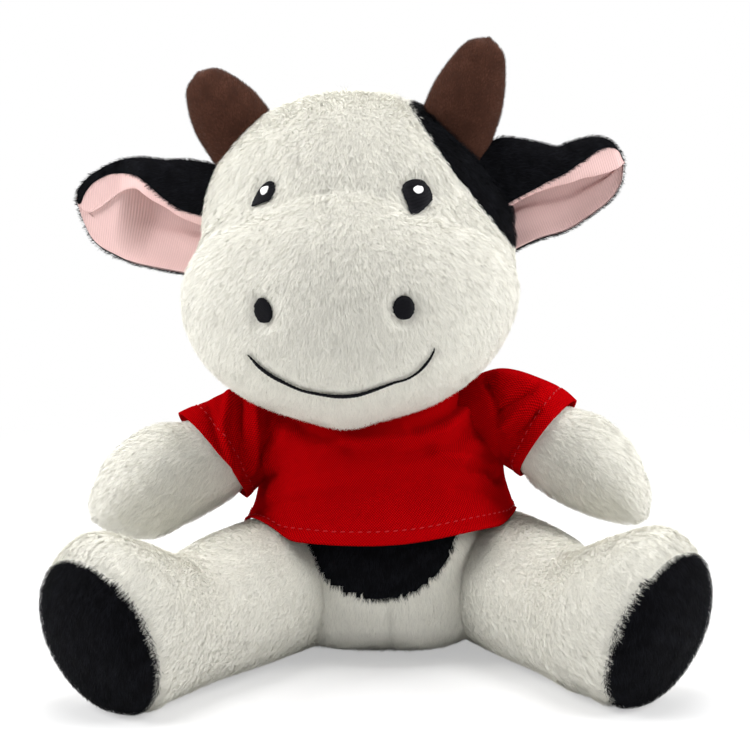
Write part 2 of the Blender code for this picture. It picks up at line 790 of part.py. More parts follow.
def make_head(head, body, shirt):
    hollow = cutter("head_hollow", grown(head.core, -PLUSH))
    shoulders = cutter("chin_clearance", grown(shirt.skin, CHIN_CLEARANCE))
    recess_top = Vector((NECK_TOP.x, NECK_TOP.y, BODY_HEIGHT - PLUSH + tan(BODY_LEAN) * NECK_RADIUS + GAP))
    recess_foot = recess_top - Vector((0, 0, OVERRUN))
    recess = cutter("neck_recess", cylinder(recess_foot, recess_top, NECK_RADIUS + NECK_EASE))

    def seam_box(gap):
        turn = Matrix.Rotation(MUZZLE_SEAM_TILT, 4, "X")
        middle = Vector((0, -MUZZLE_SEAM_BACK, -MUZZLE_SEAM_DROP))

        def place(corner):
            return in_head(middle + turn @ corner)

        reach = OVERRUN * 3
        return box((-reach, -reach, -reach), (reach, gap, reach), place)

    def patch_box(gap):
        turn = Matrix.Rotation(-PATCH_TILT, 4, "Y")

        def place(corner):
            return in_head(turn @ corner)

        reach = OVERRUN * 3
        return box((PATCH_OUT + gap, -reach, -reach), (reach, reach, reach), place)

    muzzle_half = cutter("muzzle_half", seam_box(0))
    muzzle_seam = cutter("muzzle_seam", seam_box(GAP))
    patch_half = cutter("patch_half", patch_box(0))
    patch_seam = cutter("patch_seam", patch_box(-GAP))

    skin = part("head_skin", head.skin, white_plush, "head")
    muzzle = part("muzzle_skin", head.skin, white_plush, "head")
    patch = part("head_patch", head.skin, black_plush, "head")
    for piece in (skin, muzzle, patch):
        for tool in (hollow, recess, shoulders):
            cut(piece, tool, solver="MANIFOLD")
    cut(skin, muzzle_seam, solver="MANIFOLD")
    cut(skin, patch_seam, solver="MANIFOLD")
    cut(muzzle, muzzle_half, "INTERSECT", "MANIFOLD")
    cut(patch, muzzle_seam, solver="MANIFOLD")
    cut(patch, patch_half, "INTERSECT", "MANIFOLD")
    fill = part("head_fill", grown(head.core, -PLUSH - FABRIC_GAP), fibre_filling, "head")
    cut(fill, recess, solver="MANIFOLD")
    cut(fill, shoulders, solver="MANIFOLD")


def make_face(head):
    surface = surface_tree(head.skin)
    for side, sign in SIDES.items():
        eye = Vector((sign * EYE_SPACING / 2, 0, EYE_RISE))
        part("eye_" + side, embroidered_pad(surface, eye, EYE_WIDTH, EYE_HEIGHT), dark_thread, "head")
        glint = eye + Vector((0, 0, GLINT_RISE))
        pad = embroidered_pad(surface, glint, GLINT_WIDTH, GLINT_WIDTH, STITCHING + GAP)
        part("eye_glint_" + side, pad, white_thread, "head")
        nostril = Vector((sign * NOSTRIL_SPACING / 2, 0, -NOSTRIL_DROP))
        pad = embroidered_pad(surface, nostril, NOSTRIL_WIDTH, NOSTRIL_HEIGHT)
        part("nostril_" + side, pad, dark_thread, "head")
    points = []
    for step in range(MOUTH_STEPS + 1):
        across = 2 * step / MOUTH_STEPS - 1
        points.append(Vector((across * MOUTH_WIDTH / 2, 0, -MOUTH_DROP - MOUTH_SAG * (1 - across**2))))
    part("mouth_stitch", thread_line(surface, points), dark_thread, "head")


def make_horns(head):
    clearance = cutter("horn_seat", grown(head.skin, FABRIC_GAP))
    for side in SIDES:
        form = horn_form(side, HORN_ROOT)
        hollow = cutter("horn_hollow_" + side, grown(form.core, -HORN_PLUSH))
        skin = part("horn_" + side, form.skin, brown_plush, "head")
        cut(skin, hollow)
        cut(skin, clearance)
        inner = grown(form.core, -HORN_PLUSH - FABRIC_GAP)
        fill = part("horn_" + side + "_fill", inner, fibre_filling, "head")
        cut(fill, clearance)


def make_ears(head):
    for side in SIDES:
        holder = "ear_" + side
        root = holders[holder][1]
        outer = solid_sheet(ear_sheet(side, EAR_BACK_SPAN_SHARES, 0.0), EAR_PLUSH, 0.0)
        back = part("ear_" + side + "_back", outer, black_plush, holder)
        inset = EAR_PLUSH / 2 + JERSEY / 2 + 2 * FABRIC_GAP
        inner = solid_sheet(grown(ear_sheet(side, EAR_LINING_SPAN_SHARES, inset), inset), JERSEY, 0.0)
        lining = part("ear_" + side + "_lining", inner, pink_knit, holder)
        near_head = grown(head.skin, SWING_CLEARANCE)
        for share in SWING_SHARES:
            tool = cutter("ear_seat_" + side, turned(near_head, root, "Y", EAR_FLAP * share))
            cut(back, tool)
            cut(lining, tool)


def head_room(side, head):
    """Where the head comes to with the arm down and lifted, seen from the arm, for each turn of the neck."""
    near_head = grown(head.skin, SWING_CLEARANCE)
    tools = []
    for share in SWING_SHARES:
        nodding = turned(near_head, NECK_TOP, "Z", NECK_TURN * share)
        for lift in (0.0, SIDES[side] * ARM_LIFT):
            tools.append(cutter("cheek_room_" + side, turned(nodding, shoulder(side), "Y", lift)))
    return tools


def make_arms(body, head):
    for side, sign in SIDES.items():
        holder = "arm_" + side
        pivot = holders[holder][1]
        form = arm_form(side)
        hollow = cutter("arm_hollow_" + side, grown(form.core, -PLUSH))
        skin = part("arm_" + side + "_skin", form.skin, white_plush, holder)
        cut(skin, hollow)
        fill = part("arm_" + side + "_fill", grown(form.core, -PLUSH - FABRIC_GAP), fibre_filling, holder)
        along = arm_direction(side)
        root = cylinder(pivot - along * OVERRUN, pivot + along * ARM_FILL_START, OVERRUN)
        cut(fill, cutter("arm_fill_root_" + side, root))
        near_body = grown(body.skin, FABRIC_GAP)
        for share in LIFT_SHARES:
            tool = cutter("arm_seat_" + side, turned(near_body, pivot, "Y", sign * ARM_LIFT * share))
            cut(skin, tool)
        for tool in head_room(side, head):
            cut(skin, tool)


def sleeve(side, shirt, head):
    """A short open tube round the arm, from the shirt's side to its own hem."""
    along = arm_direction(side)
    form = upper_arm_form(side).skin
    outside = grown(form, SLEEVE_EASE + JERSEY + SLEEVE_FLARE)
    inside = cutter("sleeve_inside_" + side, grown(form, SLEEVE_EASE + SLEEVE_FLARE))
    piece = part("sleeve_" + side, outside, red_jersey, "arm_" + side)
    cut(piece, inside)
    pivot = shoulder(side)
    far = pivot + along * (SLEEVE_LENGTH + OVERRUN)
    beyond = cutter("beyond_sleeve_" + side, cylinder(pivot + along * SLEEVE_LENGTH, far, OVERRUN))
    cut(piece, beyond)
    cut(piece, cutter("sleeve_seat_" + side, grown(shirt.skin, FABRIC_GAP)))
    cut(piece, cutter("sleeve_top_" + side, grown(head.skin, FABRIC_GAP)))


def armhole_tools(side):
    """What the shirt's armhole leaves room for: the sleeve at rest, and the arm as it lifts."""
    form = arm_form(side).skin
    pivot = shoulder(side)
    sign = SIDES[side]
    tools = [cutter("armhole_" + side, grown(form, SLEEVE_EASE))]
    for share in ARMHOLE_LIFT_SHARES:
        lifted = turned(grown(form, SLEEVE_EASE), pivot, "Y", -sign * ARM_LIFT * share)
        tools.append(cutter("armhole_lifted_" + side, lifted))
    return tools


def thigh_tools(side):
    """Room for the thighs, on which the shirt's hem rests, as they swing in and out."""
    near_leg = grown(leg_form(side).skin, SWING_CLEARANCE)
    return [
        cutter("thigh_room_" + side, turned(near_leg, hip(side), "Z", LEG_SWING * share))
        for share in SWING_SHARES
    ]


def make_legs(body, floor):
    for side in SIDES:
        holder = "leg_" + side
        pivot = holders[holder][1]
        facing = leg_facing(side, 1)
        form = leg_form(side)
        seam = leg_centre(side, 1 - SOLE_FROM_TIP / LEG_REACH)
        far = seam + facing * OVERRUN
        sole_region = cutter("sole_region_" + side, cylinder(seam + facing * GAP, far, OVERRUN))
        leg_region = cutter("leg_region_" + side, cylinder(seam, far, OVERRUN))
        hollow = cutter("leg_hollow_" + side, grown(form.core, -PLUSH))
        skin = part("leg_" + side + "_skin", form.skin, white_plush, holder)
        sole = part("sole_" + side, form.skin, black_plush, holder)
        fill = part("leg_" + side + "_fill", grown(form.core, -PLUSH - FABRIC_GAP), fibre_filling, holder)
        for piece in (skin, sole):
            cut(piece, hollow)
            cut(piece, floor)
        cut(skin, leg_region)
        cut(sole, sole_region, "INTERSECT")
        near_body = grown(body.skin, FABRIC_GAP)
        behind_skin = grown(body.skin, 2 * FABRIC_GAP)
        for share in SWING_SHARES:
            cut(skin, cutter("leg_seat_" + side, turned(near_body, pivot, "Z", LEG_SWING * share)))
            behind = cutter("leg_fill_seat_" + side, turned(behind_skin, pivot, "Z", LEG_SWING * share))
            cut(fill, behind, solver="MANIFOLD")


def tail_points():
    root = holders["tail"][1]
    fall = TUFT_RADIUS + GAP - root.z
    return [
        root + Vector((TAIL_ASIDE * aside, TAIL_BACK * back, fall * (back**2 * (3 - 2 * back))))
        for back, aside in TAIL_SHARES
    ]


def make_tail(body):
    points = tail_points()
    tail = part("tail", tail_tube(points, lambda i: TAIL_RADIUS).core, white_plush, "tail")
    near_body = grown(body.skin, FABRIC_GAP)
    for share in SWING_SHARES:
        cut(tail, cutter("tail_seat", turned(near_body, holders["tail"][1], "Z", TAIL_SWING * share)))
    last_step = points[-1] - points[-2]
    along = Vector((last_step.x, last_step.y, 0)).normalized()
    start = points[-1] + last_step.normalized() * TAIL_RADIUS / 2 + along * GAP
    spacing = TUFT_LENGTH / (len(TUFT_SHARES) + 1)
    first = start + along * TUFT_RADIUS * TUFT_SHARES[0] / 2
    tuft = [first + along * spacing * i for i in range(len(TUFT_SHARES))]
    form = tail_tube(tuft, lambda i: TUFT_RADIUS * TUFT_SHARES[i])
    part("tail_tuft", form.skin, black_plush, "tail")


def build():
    body = settled(body_form())
    shirt = shirt_form()
    head = head_form()
    joint_holder("body", Vector((0, 0, 0)))
    joint_holder("head", NECK_TOP, "body")
    tail_root = Vector((0, BODY_DEPTH / 2, TAIL_HEIGHT))
    joint_holder("tail", tail_root, "body")
    for side in SIDES:
        joint_holder("arm_" + side, shoulder(side), "body")
        joint_holder("leg_" + side, hip(side), "body")
        joint_holder("ear_" + side, ear_frame(side)[0], "head")
    armholes = [tool for side in SIDES for tool in armhole_tools(side) + thigh_tools(side)]
    floor = make_body(body, shirt, armholes)
    make_head(head, body, shirt)
    make_face(head)
    make_horns(head)
    make_ears(head)
    make_arms(body, head)
    for side in SIDES:
        sleeve(side, shirt, head)
    make_legs(body, floor)
    make_tail(body)


build()
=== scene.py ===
"""Looks of a seated plush cow: pile, knitted cloth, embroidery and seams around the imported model.

Metres, +Z up. The toy faces -Y, and its own left side is at +X.
"""

from math import cos, pi, radians, sin, tan

import bmesh
import bpy
import numpy as np
from mathutils import Matrix, Vector
from mathutils.bvhtree import BVHTree


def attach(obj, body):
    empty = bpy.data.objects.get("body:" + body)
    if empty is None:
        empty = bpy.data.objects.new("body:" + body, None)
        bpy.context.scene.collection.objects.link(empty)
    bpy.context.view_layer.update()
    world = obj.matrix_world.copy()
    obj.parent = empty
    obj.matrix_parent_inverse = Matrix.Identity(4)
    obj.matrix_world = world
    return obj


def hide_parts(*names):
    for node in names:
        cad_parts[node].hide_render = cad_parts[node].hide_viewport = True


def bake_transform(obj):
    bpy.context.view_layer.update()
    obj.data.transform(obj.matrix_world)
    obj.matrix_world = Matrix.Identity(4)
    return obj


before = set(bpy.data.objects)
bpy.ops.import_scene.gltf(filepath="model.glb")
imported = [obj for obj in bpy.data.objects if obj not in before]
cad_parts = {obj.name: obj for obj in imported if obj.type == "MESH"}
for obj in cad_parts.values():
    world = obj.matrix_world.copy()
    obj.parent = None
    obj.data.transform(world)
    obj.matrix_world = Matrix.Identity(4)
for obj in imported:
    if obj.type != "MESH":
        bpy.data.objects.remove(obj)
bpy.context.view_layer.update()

MM = 0.001
SIDES = {"left": 1.0, "right": -1.0}

# Camera, as the photograph has it
CAMERA_PLACE = np.array((-0.003, -0.7397, 0.2145))
CAMERA_AIM = np.array((-0.003, 0.0, 0.0907))
CAMERA_LENS = 109.1
SENSOR_WIDTH = 36.0
PHOTO_WIDTH = 750

# Body
BODY_HEIGHT = 0.098
BODY_WIDTH = 0.084
BODY_DEPTH = 0.076
BODY_LEAN = radians(4.0)
NECK_SHIFT = 0.0065
# Each row of the body: share of its height, of its half width and of its half depth
BODY_SHARES = (
    (0.045, 0.74, 0.74),
    (0.17, 0.97, 0.97),
    (0.33, 1.0, 1.0),
    (0.50, 0.90, 0.90),
    (0.65, 0.81, 0.79),
    (0.78, 0.74, 0.70),
    (0.88, 0.60, 0.59),
    (0.96, 0.48, 0.53),
)
BODY_SEAT_SHARE = 0.55
BODY_PILE_TOP = 0.058
BELLY_RADIUS = 0.026
BELLY_HEIGHT = 0.0505
# A seam or fold: its two ends in the photograph's pixels, its height and its half width in pixels
BODY_SEAM = (((392, 600), (390, 650), -1.4 * MM, 3.0),)
BODY_BULGES = ((np.array((-0.001, -0.030, 0.002)), 0.013, -0.0030),)

# Shirt
HEM_HEIGHT = 0.0426
HEM_DIP = 0.0012
HEM_CORNER = 0.075
HEM_RISE = {"left": 0.0026, "right": 0.0012}
COLLAR_HEIGHT = 0.0885
SHIRT_EASE = 0.005
JERSEY = 0.0007
HEM_FOLD = 0.0040
# Each row of the shirt: share of the way from hem to collar, and of the ease at its sides and at its front
SHIRT_SHARES = (
    (0.0, 1.14, 0.90),
    (0.067, 0.96, 0.82),
    (0.20, 0.66, 0.72),
    (0.347, 0.60, 0.70),
    (0.627, 0.90, 0.74),
    (0.864, 0.98, 0.64),
    (1.0, 0.62, 0.50),
)
# Room under the toy's left arm: share of the way from hem to collar, and how far the cloth stands off
SHIRT_ROOM = ((0.0, 0.0), (0.15, 0.0022), (0.40, 0.0040), (0.65, 0.0024), (0.9, 0.0))
SHIRT_FOLDS = (
    ((330, 444), (400, 440), (440, 432), (484, 392), 1.9 * MM, 8.0),
    ((289, 416), (306, 432), (350, 448), -1.5 * MM, 7.0),
    ((412, 430), (446, 416), (474, 396), -1.6 * MM, 6.0),
    ((274, 430), (272, 460), (274, 498), 1.1 * MM, 7.0),
    ((436, 452), (466, 462), (490, 472), 1.3 * MM, 8.0),
    ((296, 492), (380, 474), (470, 450), 1.1 * MM, 10.0),
    ((258, 490), (264, 482), (274, 474), -1.6 * MM, 5.0),
    ((264, 470), (276, 452), (288, 436), 0.9 * MM, 8.0),
    ((262, 510), (282, 502), (306, 500), -0.6 * MM, 6.0),
    ((498, 478), (486, 470), (468, 466), -1.6 * MM, 5.5),
    ((500, 458), (484, 446), (466, 442), 0.9 * MM, 7.0),
    ((505, 500), (484, 492), (456, 490), -0.7 * MM, 6.0),
)
# Gain on the folds' heights, and the cloth's own waviness: its height and wavelength
SHIRT_GAIN = 1.5
SLEEVE_GAIN = 1.2
SHIRT_WAVE = (0.45 * MM, 0.024)
SHIRT_WAVE_BEHIND = 0.50 * MM
SLEEVE_WAVE = (0.30 * MM, 0.014)
SHIRT_GRID = (100, 361)
SHIRT_RADIUS = (BODY_WIDTH + BODY_DEPTH) / 4
SLEEVE_GRID = (72, 121)
SLEEVE_RADIUS = 0.016
SLEEVE_EASE = 0.0009
ARMHOLE_EASE = 0.0003
SLEEVE_TUCK = 0.007
# How far the cloth lies off the plush, and how deep under a thigh it is still raised on to it
BODY_CLEARANCES = (0.0012, 0.0006)
THIGH_CLEARANCES = (0.0004, 0.0001)
ARM_CLEARANCE = 0.0008
THIGH_REACH = 0.012
# The puckers on either side of an armhole's seam: how far off it they lie, and their height and half width
ARMHOLE_STEP = 5.0
ARMHOLE_RIDGE = (1.1 * MM, 4.0)
ARMHOLE_GROOVE = (-2.0 * MM, 4.5)
ARMHOLES = {
    "right": ((274, 412), (269, 442), (265, 468), (260, 478)),
    "left": ((482, 381), (492, 401), (493, 427), (500, 461)),
}
SLEEVE_FOLDS = {
    "right": (
        ((230, 396), (222, 428), (230, 466), 1.3 * MM, 4.5),
        ((242, 402), (242, 440), (246, 478), -1.7 * MM, 4.0),
        ((256, 404), (256, 440), (255, 474), 1.2 * MM, 4.0),
        ((208, 402), (214, 426), (228, 462), -0.8 * MM, 4.5),
        ((212, 396), (236, 392), 0.8 * MM, 8.0),
    ),
    "left": (
        ((500, 378), (524, 382), (545, 392), 1.4 * MM, 7.0),
        ((498, 409), (518, 399), (536, 388), -1.5 * MM, 3.6),
        ((499, 430), (518, 412), (538, 400), 1.5 * MM, 5.0),
        ((503, 453), (520, 432), (537, 412), -1.7 * MM, 4.2),
        ((515, 462), (536, 438), (552, 420), 0.9 * MM, 5.0),
    ),
}
STITCH_LENGTH = 0.0017
STITCH_GAP = 0.0011
STITCH_WIDTH = 0.00045
STITCH_SLANT = radians(6.0)
# The doubled cloth of a hem, and the grooves of its stitches and of the side seams: how deep and how wide
HEM_THICKNESS = 0.22 * MM
HEM_GROOVE = (0.25 * MM, 0.0005)
SIDE_GROOVE = (0.35 * MM, 0.0008)
COLLAR_SIDES = 12
COLLAR_HALF = (0.0011, 0.0015)
COLLAR_RADIUS = 0.025
COLLAR_LAID = (0.03, 0.0008)

# Head
HEAD_ASIDE = 0.0045
HEAD_SINK = 0.005
HEAD_YAW = radians(-4.5)
HEAD_ROLL = radians(-2.0)
CRANIUM_HALF = np.array((0.0495, 0.045, 0.046))
CRANIUM_CENTRE = np.array((0.0, 0.005, 0.006))
MUZZLE_HALF = np.array((0.0535, 0.038, 0.040))
MUZZLE_CENTRE = np.array((0.0, -0.020, -0.0145))
HEAD_BLEND = 0.008
MUZZLE_SEAM_MIDDLE = np.array((0.0, -0.005, -0.016))
MUZZLE_SEAM_TILT = radians(43.5)
# How far the seam is shifted back out of its plane, by the distance from the head's middle
SEAM_ARCH_ROWS = (
    (0.0, 0.0033), (0.010, 0.0021), (0.020, -0.0008), (0.028, -0.0020), (0.040, -0.0006), (0.060, 0.0020),
)
PATCH_TILT = radians(35.0)
PATCH_OUT = 0.0432
# A swelling: its middle, its radius and how far it stands out
HEAD_BULGES = (
    (np.array((0.0530, 0.0, -0.004)), 0.021, 0.0052),
    (np.array((0.0510, -0.001, 0.009)), 0.011, 0.0018),
    (np.array((-0.001, -0.030, -0.054)), 0.010, 0.0022),
)
DART_ASIDE = -0.004
DART_LENGTH = 0.020
# Seams drawn into the plush: how deep and how wide
SEAM_GROOVE = (0.0009, 0.0032)
PATCH_GROOVE = (0.0007, 0.0012)
DART_GROOVE = (0.0011, 0.0016)
BACK_GROOVE = (0.0011, 0.0013)
SOLE_GROOVE = (0.0010, 0.0016)

# Face, in the photograph's pixels
EYE_PIXELS = {
    "right": ((251, 206), (255, 195), (261, 186), (268, 181), (274, 183), (274, 191), (270, 199),
              (261, 203)),
    "left": ((402, 188), (406, 182), (414, 179), (423, 180), (430, 188), (433, 198), (427, 206),
             (418, 213), (411, 212), (407, 203), (404, 195)),
}
GLINT_PIXELS = {
    "right": ((261, 190), (265, 187), (269, 187), (268, 192), (265, 195), (262, 195)),
    "left": ((412.8, 190), (415, 187), (418.5, 186.3), (422.5, 188), (422.5, 192), (419, 194.2),
             (415, 193.2)),
}
NOSTRIL_PIXELS = {
    "right": ((254, 306), (258, 298.5), (264, 298.5), (270, 305), (272, 314), (270, 321), (265, 323),
              (258, 321), (254.5, 314)),
    "left": ((393, 308), (397, 298.5), (404, 295.7), (411.5, 298.5), (415, 308), (411.5, 317), (404, 320),
             (396.5, 317)),
}
THREAD_ANGLES = {"right": radians(-32.0), "left": radians(8.0)}
MOUTH_PIXELS = (
    (249, 355), (260, 367), (271, 375), (288, 384), (302, 390), (321, 394), (337, 396), (356, 395),
    (373, 390), (392, 383), (408, 378), (420, 370), (430, 358), (435, 348),
)
# Thickness of the mouth's thread along it, as shares of the thickest
MOUTH_SHARES = (0.45, 0.95, 1.0, 0.75, 0.7, 0.8, 1.0, 1.0, 0.9, 0.75, 0.55, 0.6, 0.75, 0.4)
MOUTH_THREAD = 0.0013
THREAD_PITCH = 0.00042
PAD_RISE = 0.0007
PAD_SINK = 0.0003
PAD_BASE = 0.0006
GLINT_RISE = 0.0004
# Rows to a satin thread, points along it, and the share of its pad's height by which it rounds
THREAD_ROWS = 6
THREAD_COLUMNS = 18
THREAD_SHARE = 0.28
MOUTH_STEP = 0.00115
MOUTH_LENGTHS = (0.0019, 0.0024)
MOUTH_SLANT = radians(14.0)
MOUTH_RISE = 0.0004
# Hollows under the embroidery, and the shares by which the pile beside it is shorter: the most, and the width
# in pixels
PAD_DENT = (0.0013, 7.0)
MOUTH_DENT = (0.00078, 4.9)
PAD_TRIM = (0.45, 3.0)
MOUTH_TRIM = (0.45, 2.2)
BARE_PIXELS = 0.4

# Pile: how deep its backing lies under the outline, and its fibres' number to a square metre and size
BACKING_DEPTH = 0.0013
BACKING_LOWEST = 0.0005
FIBRE_LOWEST = 0.0002
WHITE_PILE = {"density": 6.6e6, "length": 0.0029, "width": 0.00013}
BLACK_PILE = {"density": 6.0e6, "length": 0.0026, "width": 0.00014}
BROWN_PILE = {"density": 9.0e6, "length": 0.0009, "width": 0.00010}
EAR_PILE = {**BLACK_PILE, "length": 0.0020}
TAIL_PILE = {**WHITE_PILE, "length": 0.0022, "width": 0.00016}
TUFT_PILE = {**BLACK_PILE, "length": 0.0036, "width": 0.00016}
MOST_FIBRES = 60000
# How far the pile's direction wanders: amount and wavelength of coarse and fine tufts, and each fibre's own
TUFT_WANDER = ((0.14, 0.010), (0.12, 0.0026))
FIBRE_WANDER = 0.26
# A fibre's least and greatest share of the pile's length and width, and its width's share half way up
LENGTH_SHARES = (0.75, 1.12)
WIDTH_SHARES = (0.7, 1.2)
MIDDLE_SHARE = 0.85
# The head's nap: how fast it turns aside from the middle, its turn behind the seam, and where its crown starts
NAP_TURN = 14.0
NAP_BACK = 0.5
CROWN_FROM = 0.035
CROWN_RISE = 0.012
# Waves through the pile, how much and how long: in its length, its lie in degrees, its shading and its tone
LENGTH_WAVE = (0.05, 0.004)
LAY_WAVE = (2.5, 0.003)
SHADE_WAVE = (0.10, 0.0026)
TONE_WAVE = (0.25, 0.006)
# Each fibre's own spread: in degrees at its root and its tip, in its roll and in its shading
LAY_SPREADS = (6.0, 8.0)
ROLL_SPREAD = 0.35
SHADE_SPREAD = 0.12

# Arms and legs
SHOULDER_OUT = 0.0045
SHOULDER_FORWARD = 0.003
SHOULDER_HEIGHT = 0.075
ARM_REACH = 0.0433
ARM_DROOP = radians(20.5)
ARM_FORWARD = radians(21.5)
ARM_ROOT_RADIUS = 0.0125
HAND_RADIUS = 0.0158
ARM_ROOT = 0.012
# Each row of an arm: share of its reach, and how far it has grown from root to hand
ARM_SHARES = (
    (-0.12, 0.0),
    (0.10, 0.10),
    (0.33, 0.38),
    (0.60, 0.74),
    (0.85, 1.0),
    (1.06, 1.0),
    (1.23, 0.78),
)
# The arms' edges from shoulder to hand, and the sleeves' from armhole to hem, in the photograph's pixels
ARM_PIXELS = {
    "right": {
        "top": ((249, 396), (225, 404), (183, 420), (159, 423), (135, 434), (110, 457), (95, 484),
                (89, 504), (89.5, 514), (92, 522)),
        "bottom": ((275, 460), (258, 476), (242, 490), (232, 497), (209, 511), (184, 524), (154, 538),
                   (128, 538), (106, 531), (92, 522)),
    },
    "left": {
        "top": ((492, 394), (530, 392), (556, 400), (575, 407), (599, 416), (619, 432), (636, 454),
                (648, 484), (651, 499), (649, 514), (648, 518)),
        "bottom": ((480, 446), (506, 459), (525, 475), (540, 489), (569, 506), (591, 515), (614, 522),
                   (632, 525), (642, 523), (648, 518)),
    },
}
SLEEVE_PIXELS = {
    "right": {
        "top": ((306, 394), (280, 388), (252, 387), (229, 393), (205, 404), (182, 415)),
        "bottom": ((276, 458), (262, 477), (252, 487), (243, 495)),
    },
    "left": {
        "top": ((440, 390), (462, 382), (484, 374), (500, 371), (514, 372), (529, 376), (554, 387),
                (571, 403)),
        "bottom": ((484, 446), (504, 461), (514, 467), (524, 473)),
    },
}
# Where the hand's pile starts inside the sleeve
HAND_PILE_FROM = -0.003
HAND_PILE_GROWTH = 0.006
HAND_PILE_SHARES = (0.45, 0.3)
HIP_OUT = {"left": 0.030, "right": 0.026}
HIP_BACK = {"left": 0.0065, "right": -0.005}
LEG_TURN = {"left": radians(29.0), "right": radians(37.0)}
SOLE_TURN = {"left": radians(50.0), "right": radians(42.0)}
SOLE_TILT = radians(18.0)
LEG_REACH = 0.108
LEG_ROOT = 0.010
FOOT_HEIGHT = 0.0580
FOOT_WIDTH = 0.0510
SOLE_FROM_TIP = 0.0118
SETTLE = 0.0005
ANKLE_LIFT_SHARE = 0.15
FOOT_FROM_SHARE = 0.70
FOOT_WIDEST_SHARE = 0.81
# Each row of a leg: share of its reach, of the foot's half width and height, and of the sole's turn
LEG_SHARES = (
    (0.00, 0.84, 0.78, 0.0),
    (0.16, 0.90, 0.81, 0.0),
    (0.34, 0.92, 0.79, 0.1),
    (0.54, 0.86, 0.745, 0.3),
    (0.70, 0.92, 0.93, 0.7),
    (0.81, 1.00, 1.035, 0.9),
    (0.905, 0.97, 0.955, 1.0),
    (0.97, 0.70, 0.68, 1.0),
)

# Horns and ears
HORN_PLACE = radians(46.0)
HORN_LENGTH = {"left": 0.031, "right": 0.0245}
HORN_LEAN = {"left": radians(22.0), "right": radians(33.0)}
HORN_ROOT = 0.010
HORN_WIDTH = 0.0255
HORN_DEPTH = 0.020
# Each row of a horn: share of its length and of its half width
HORN_SHARES = ((0.0, 1.0), (0.35, 0.95), (0.65, 0.76), (0.88, 0.50))
HORN_SINK = 0.0004
EAR_PLACE = {"left": radians(82.0), "right": radians(80.0)}
EAR_RISE = {"left": radians(17.0), "right": radians(8.0)}
EAR_BACK_SWEEP = radians(12.0)
EAR_INSIDE = 0.004
# The ear's edges from root to tip, in the photograph's pixels: its top, the black flap's lower edge, the
# lining's roll below it, and the ear's lower edge
EAR_PIXELS = {
    "right": {
        "top": ((214, 163), (187, 159), (167, 159), (141, 156.5), (116, 160.5), (99, 169), (86, 178),
                (78, 190), (76.5, 198)),
        "flap": ((206, 214), (187, 208), (167, 194), (152, 181), (141, 175), (122, 173), (108, 175),
                 (92.5, 184), (84.5, 195), (80.5, 204), (78, 203), (76.5, 199)),
        "roll": ((204, 224), (184, 216), (170, 207), (157, 200), (147.5, 193.5), (139, 188.5), (126, 191),
                 (112, 200), (100, 209), (90, 213), (83, 210), (78.5, 206), (76.5, 200)),
        "bottom": ((200, 276), (184, 272), (167, 269), (147, 265), (131, 261), (116, 254.5), (101, 246.5),
                   (91.5, 237), (84.5, 223), (79, 208), (76.5, 198.5)),
    },
    "left": {
        "top": ((484, 144), (500, 137), (511, 137), (526, 139.5), (541, 142.5), (557, 146), (567, 142),
                (577, 139), (592, 136), (607, 138), (615, 144), (621, 152), (623.5, 162)),
        "flap": ((503, 204), (518, 195.5), (529, 190), (545, 181), (562, 173), (572, 166), (587, 156.5),
                 (596, 150), (608, 147.5), (617, 150), (622, 157), (623.4, 161.5)),
        "roll": ((505, 208), (520, 199), (536, 192), (551, 187), (567, 183), (582, 178), (594, 176),
                 (606, 173), (616, 169), (621, 166), (623.4, 163)),
        "bottom": ((513, 250), (522, 245.5), (536, 239), (547, 235.5), (560, 232), (575, 225), (583, 219.5),
                   (597, 210), (611.5, 197.5), (620.5, 183), (623.4, 164)),
    },
}
# Half the ear's thickness, how far its flap stands forward and how deep its cup is, all at the root. They
# shrink to the tip's share between the two shares of the ear's reach at which they fade.
EAR_THICKNESS = 0.0030
EAR_LEAST_SHARE = 0.45
EAR_FLAP_RISE = 0.0060
EAR_CUP_DEPTH = {"left": 0.0045, "right": 0.0080}
EAR_TIP_SHARES = {"left": 0.20, "right": 0.06}
EAR_FADE_SHARES = {"left": (0.55, 1.1), "right": (0.40, 0.68)}
EAR_FULL_HEIGHT = 0.014
EAR_ROWS = 70
LINING_COLUMNS = 80
BACK_COLUMNS = 90
EAR_SINK = 0.0003
EAR_CLOTH = 0.0002

# Tail
TAIL_HEIGHT = 0.026
TAIL_RADIUS = 0.0036
TAIL_BACK = 0.026
TAIL_ASIDE = 0.008
TUFT_RADIUS = 0.0075
TUFT_LENGTH = 0.026
TAIL_SINK = 0.0012
TUFT_SINK = 0.0016
TAIL_SHARES = ((0.0, 0.0), (0.2, 0.05), (0.45, 0.2), (0.7, 0.5), (1.0, 1.0))
TUFT_SHARES = (0.55, 0.9, 1.0, 0.7)

# How many rows each round form has, and how many points to a row
RINGS = {
    "body": (60, 120),
    "arm": (80, 90),
    "leg": (90, 110),
    "horn": (44, 60),
    "tail": (30, 24),
    "tuft": (30, 40),
}

# Colours and light
WHITE = (0.825, 0.812, 0.742)
BLACK = (0.0035, 0.0038, 0.0052)
BROWN = (0.060, 0.024, 0.015)
PINK = (0.725, 0.495, 0.475)
# The jersey's red: in painted shade between its stitches, and in painted light on their tops
RED_IN_PAINTED_SHADE = (0.170, 0.0003, 0.0009)
RED_IN_PAINTED_LIGHT = (0.60, 0.0010, 0.0030)
THREAD_RED = (0.42, 0.016, 0.020)
THREAD_DARK = (0.006, 0.006, 0.008)
THREAD_WHITE = (0.85, 0.85, 0.85)
THREAD_TINTS = (0.75, 1.2)
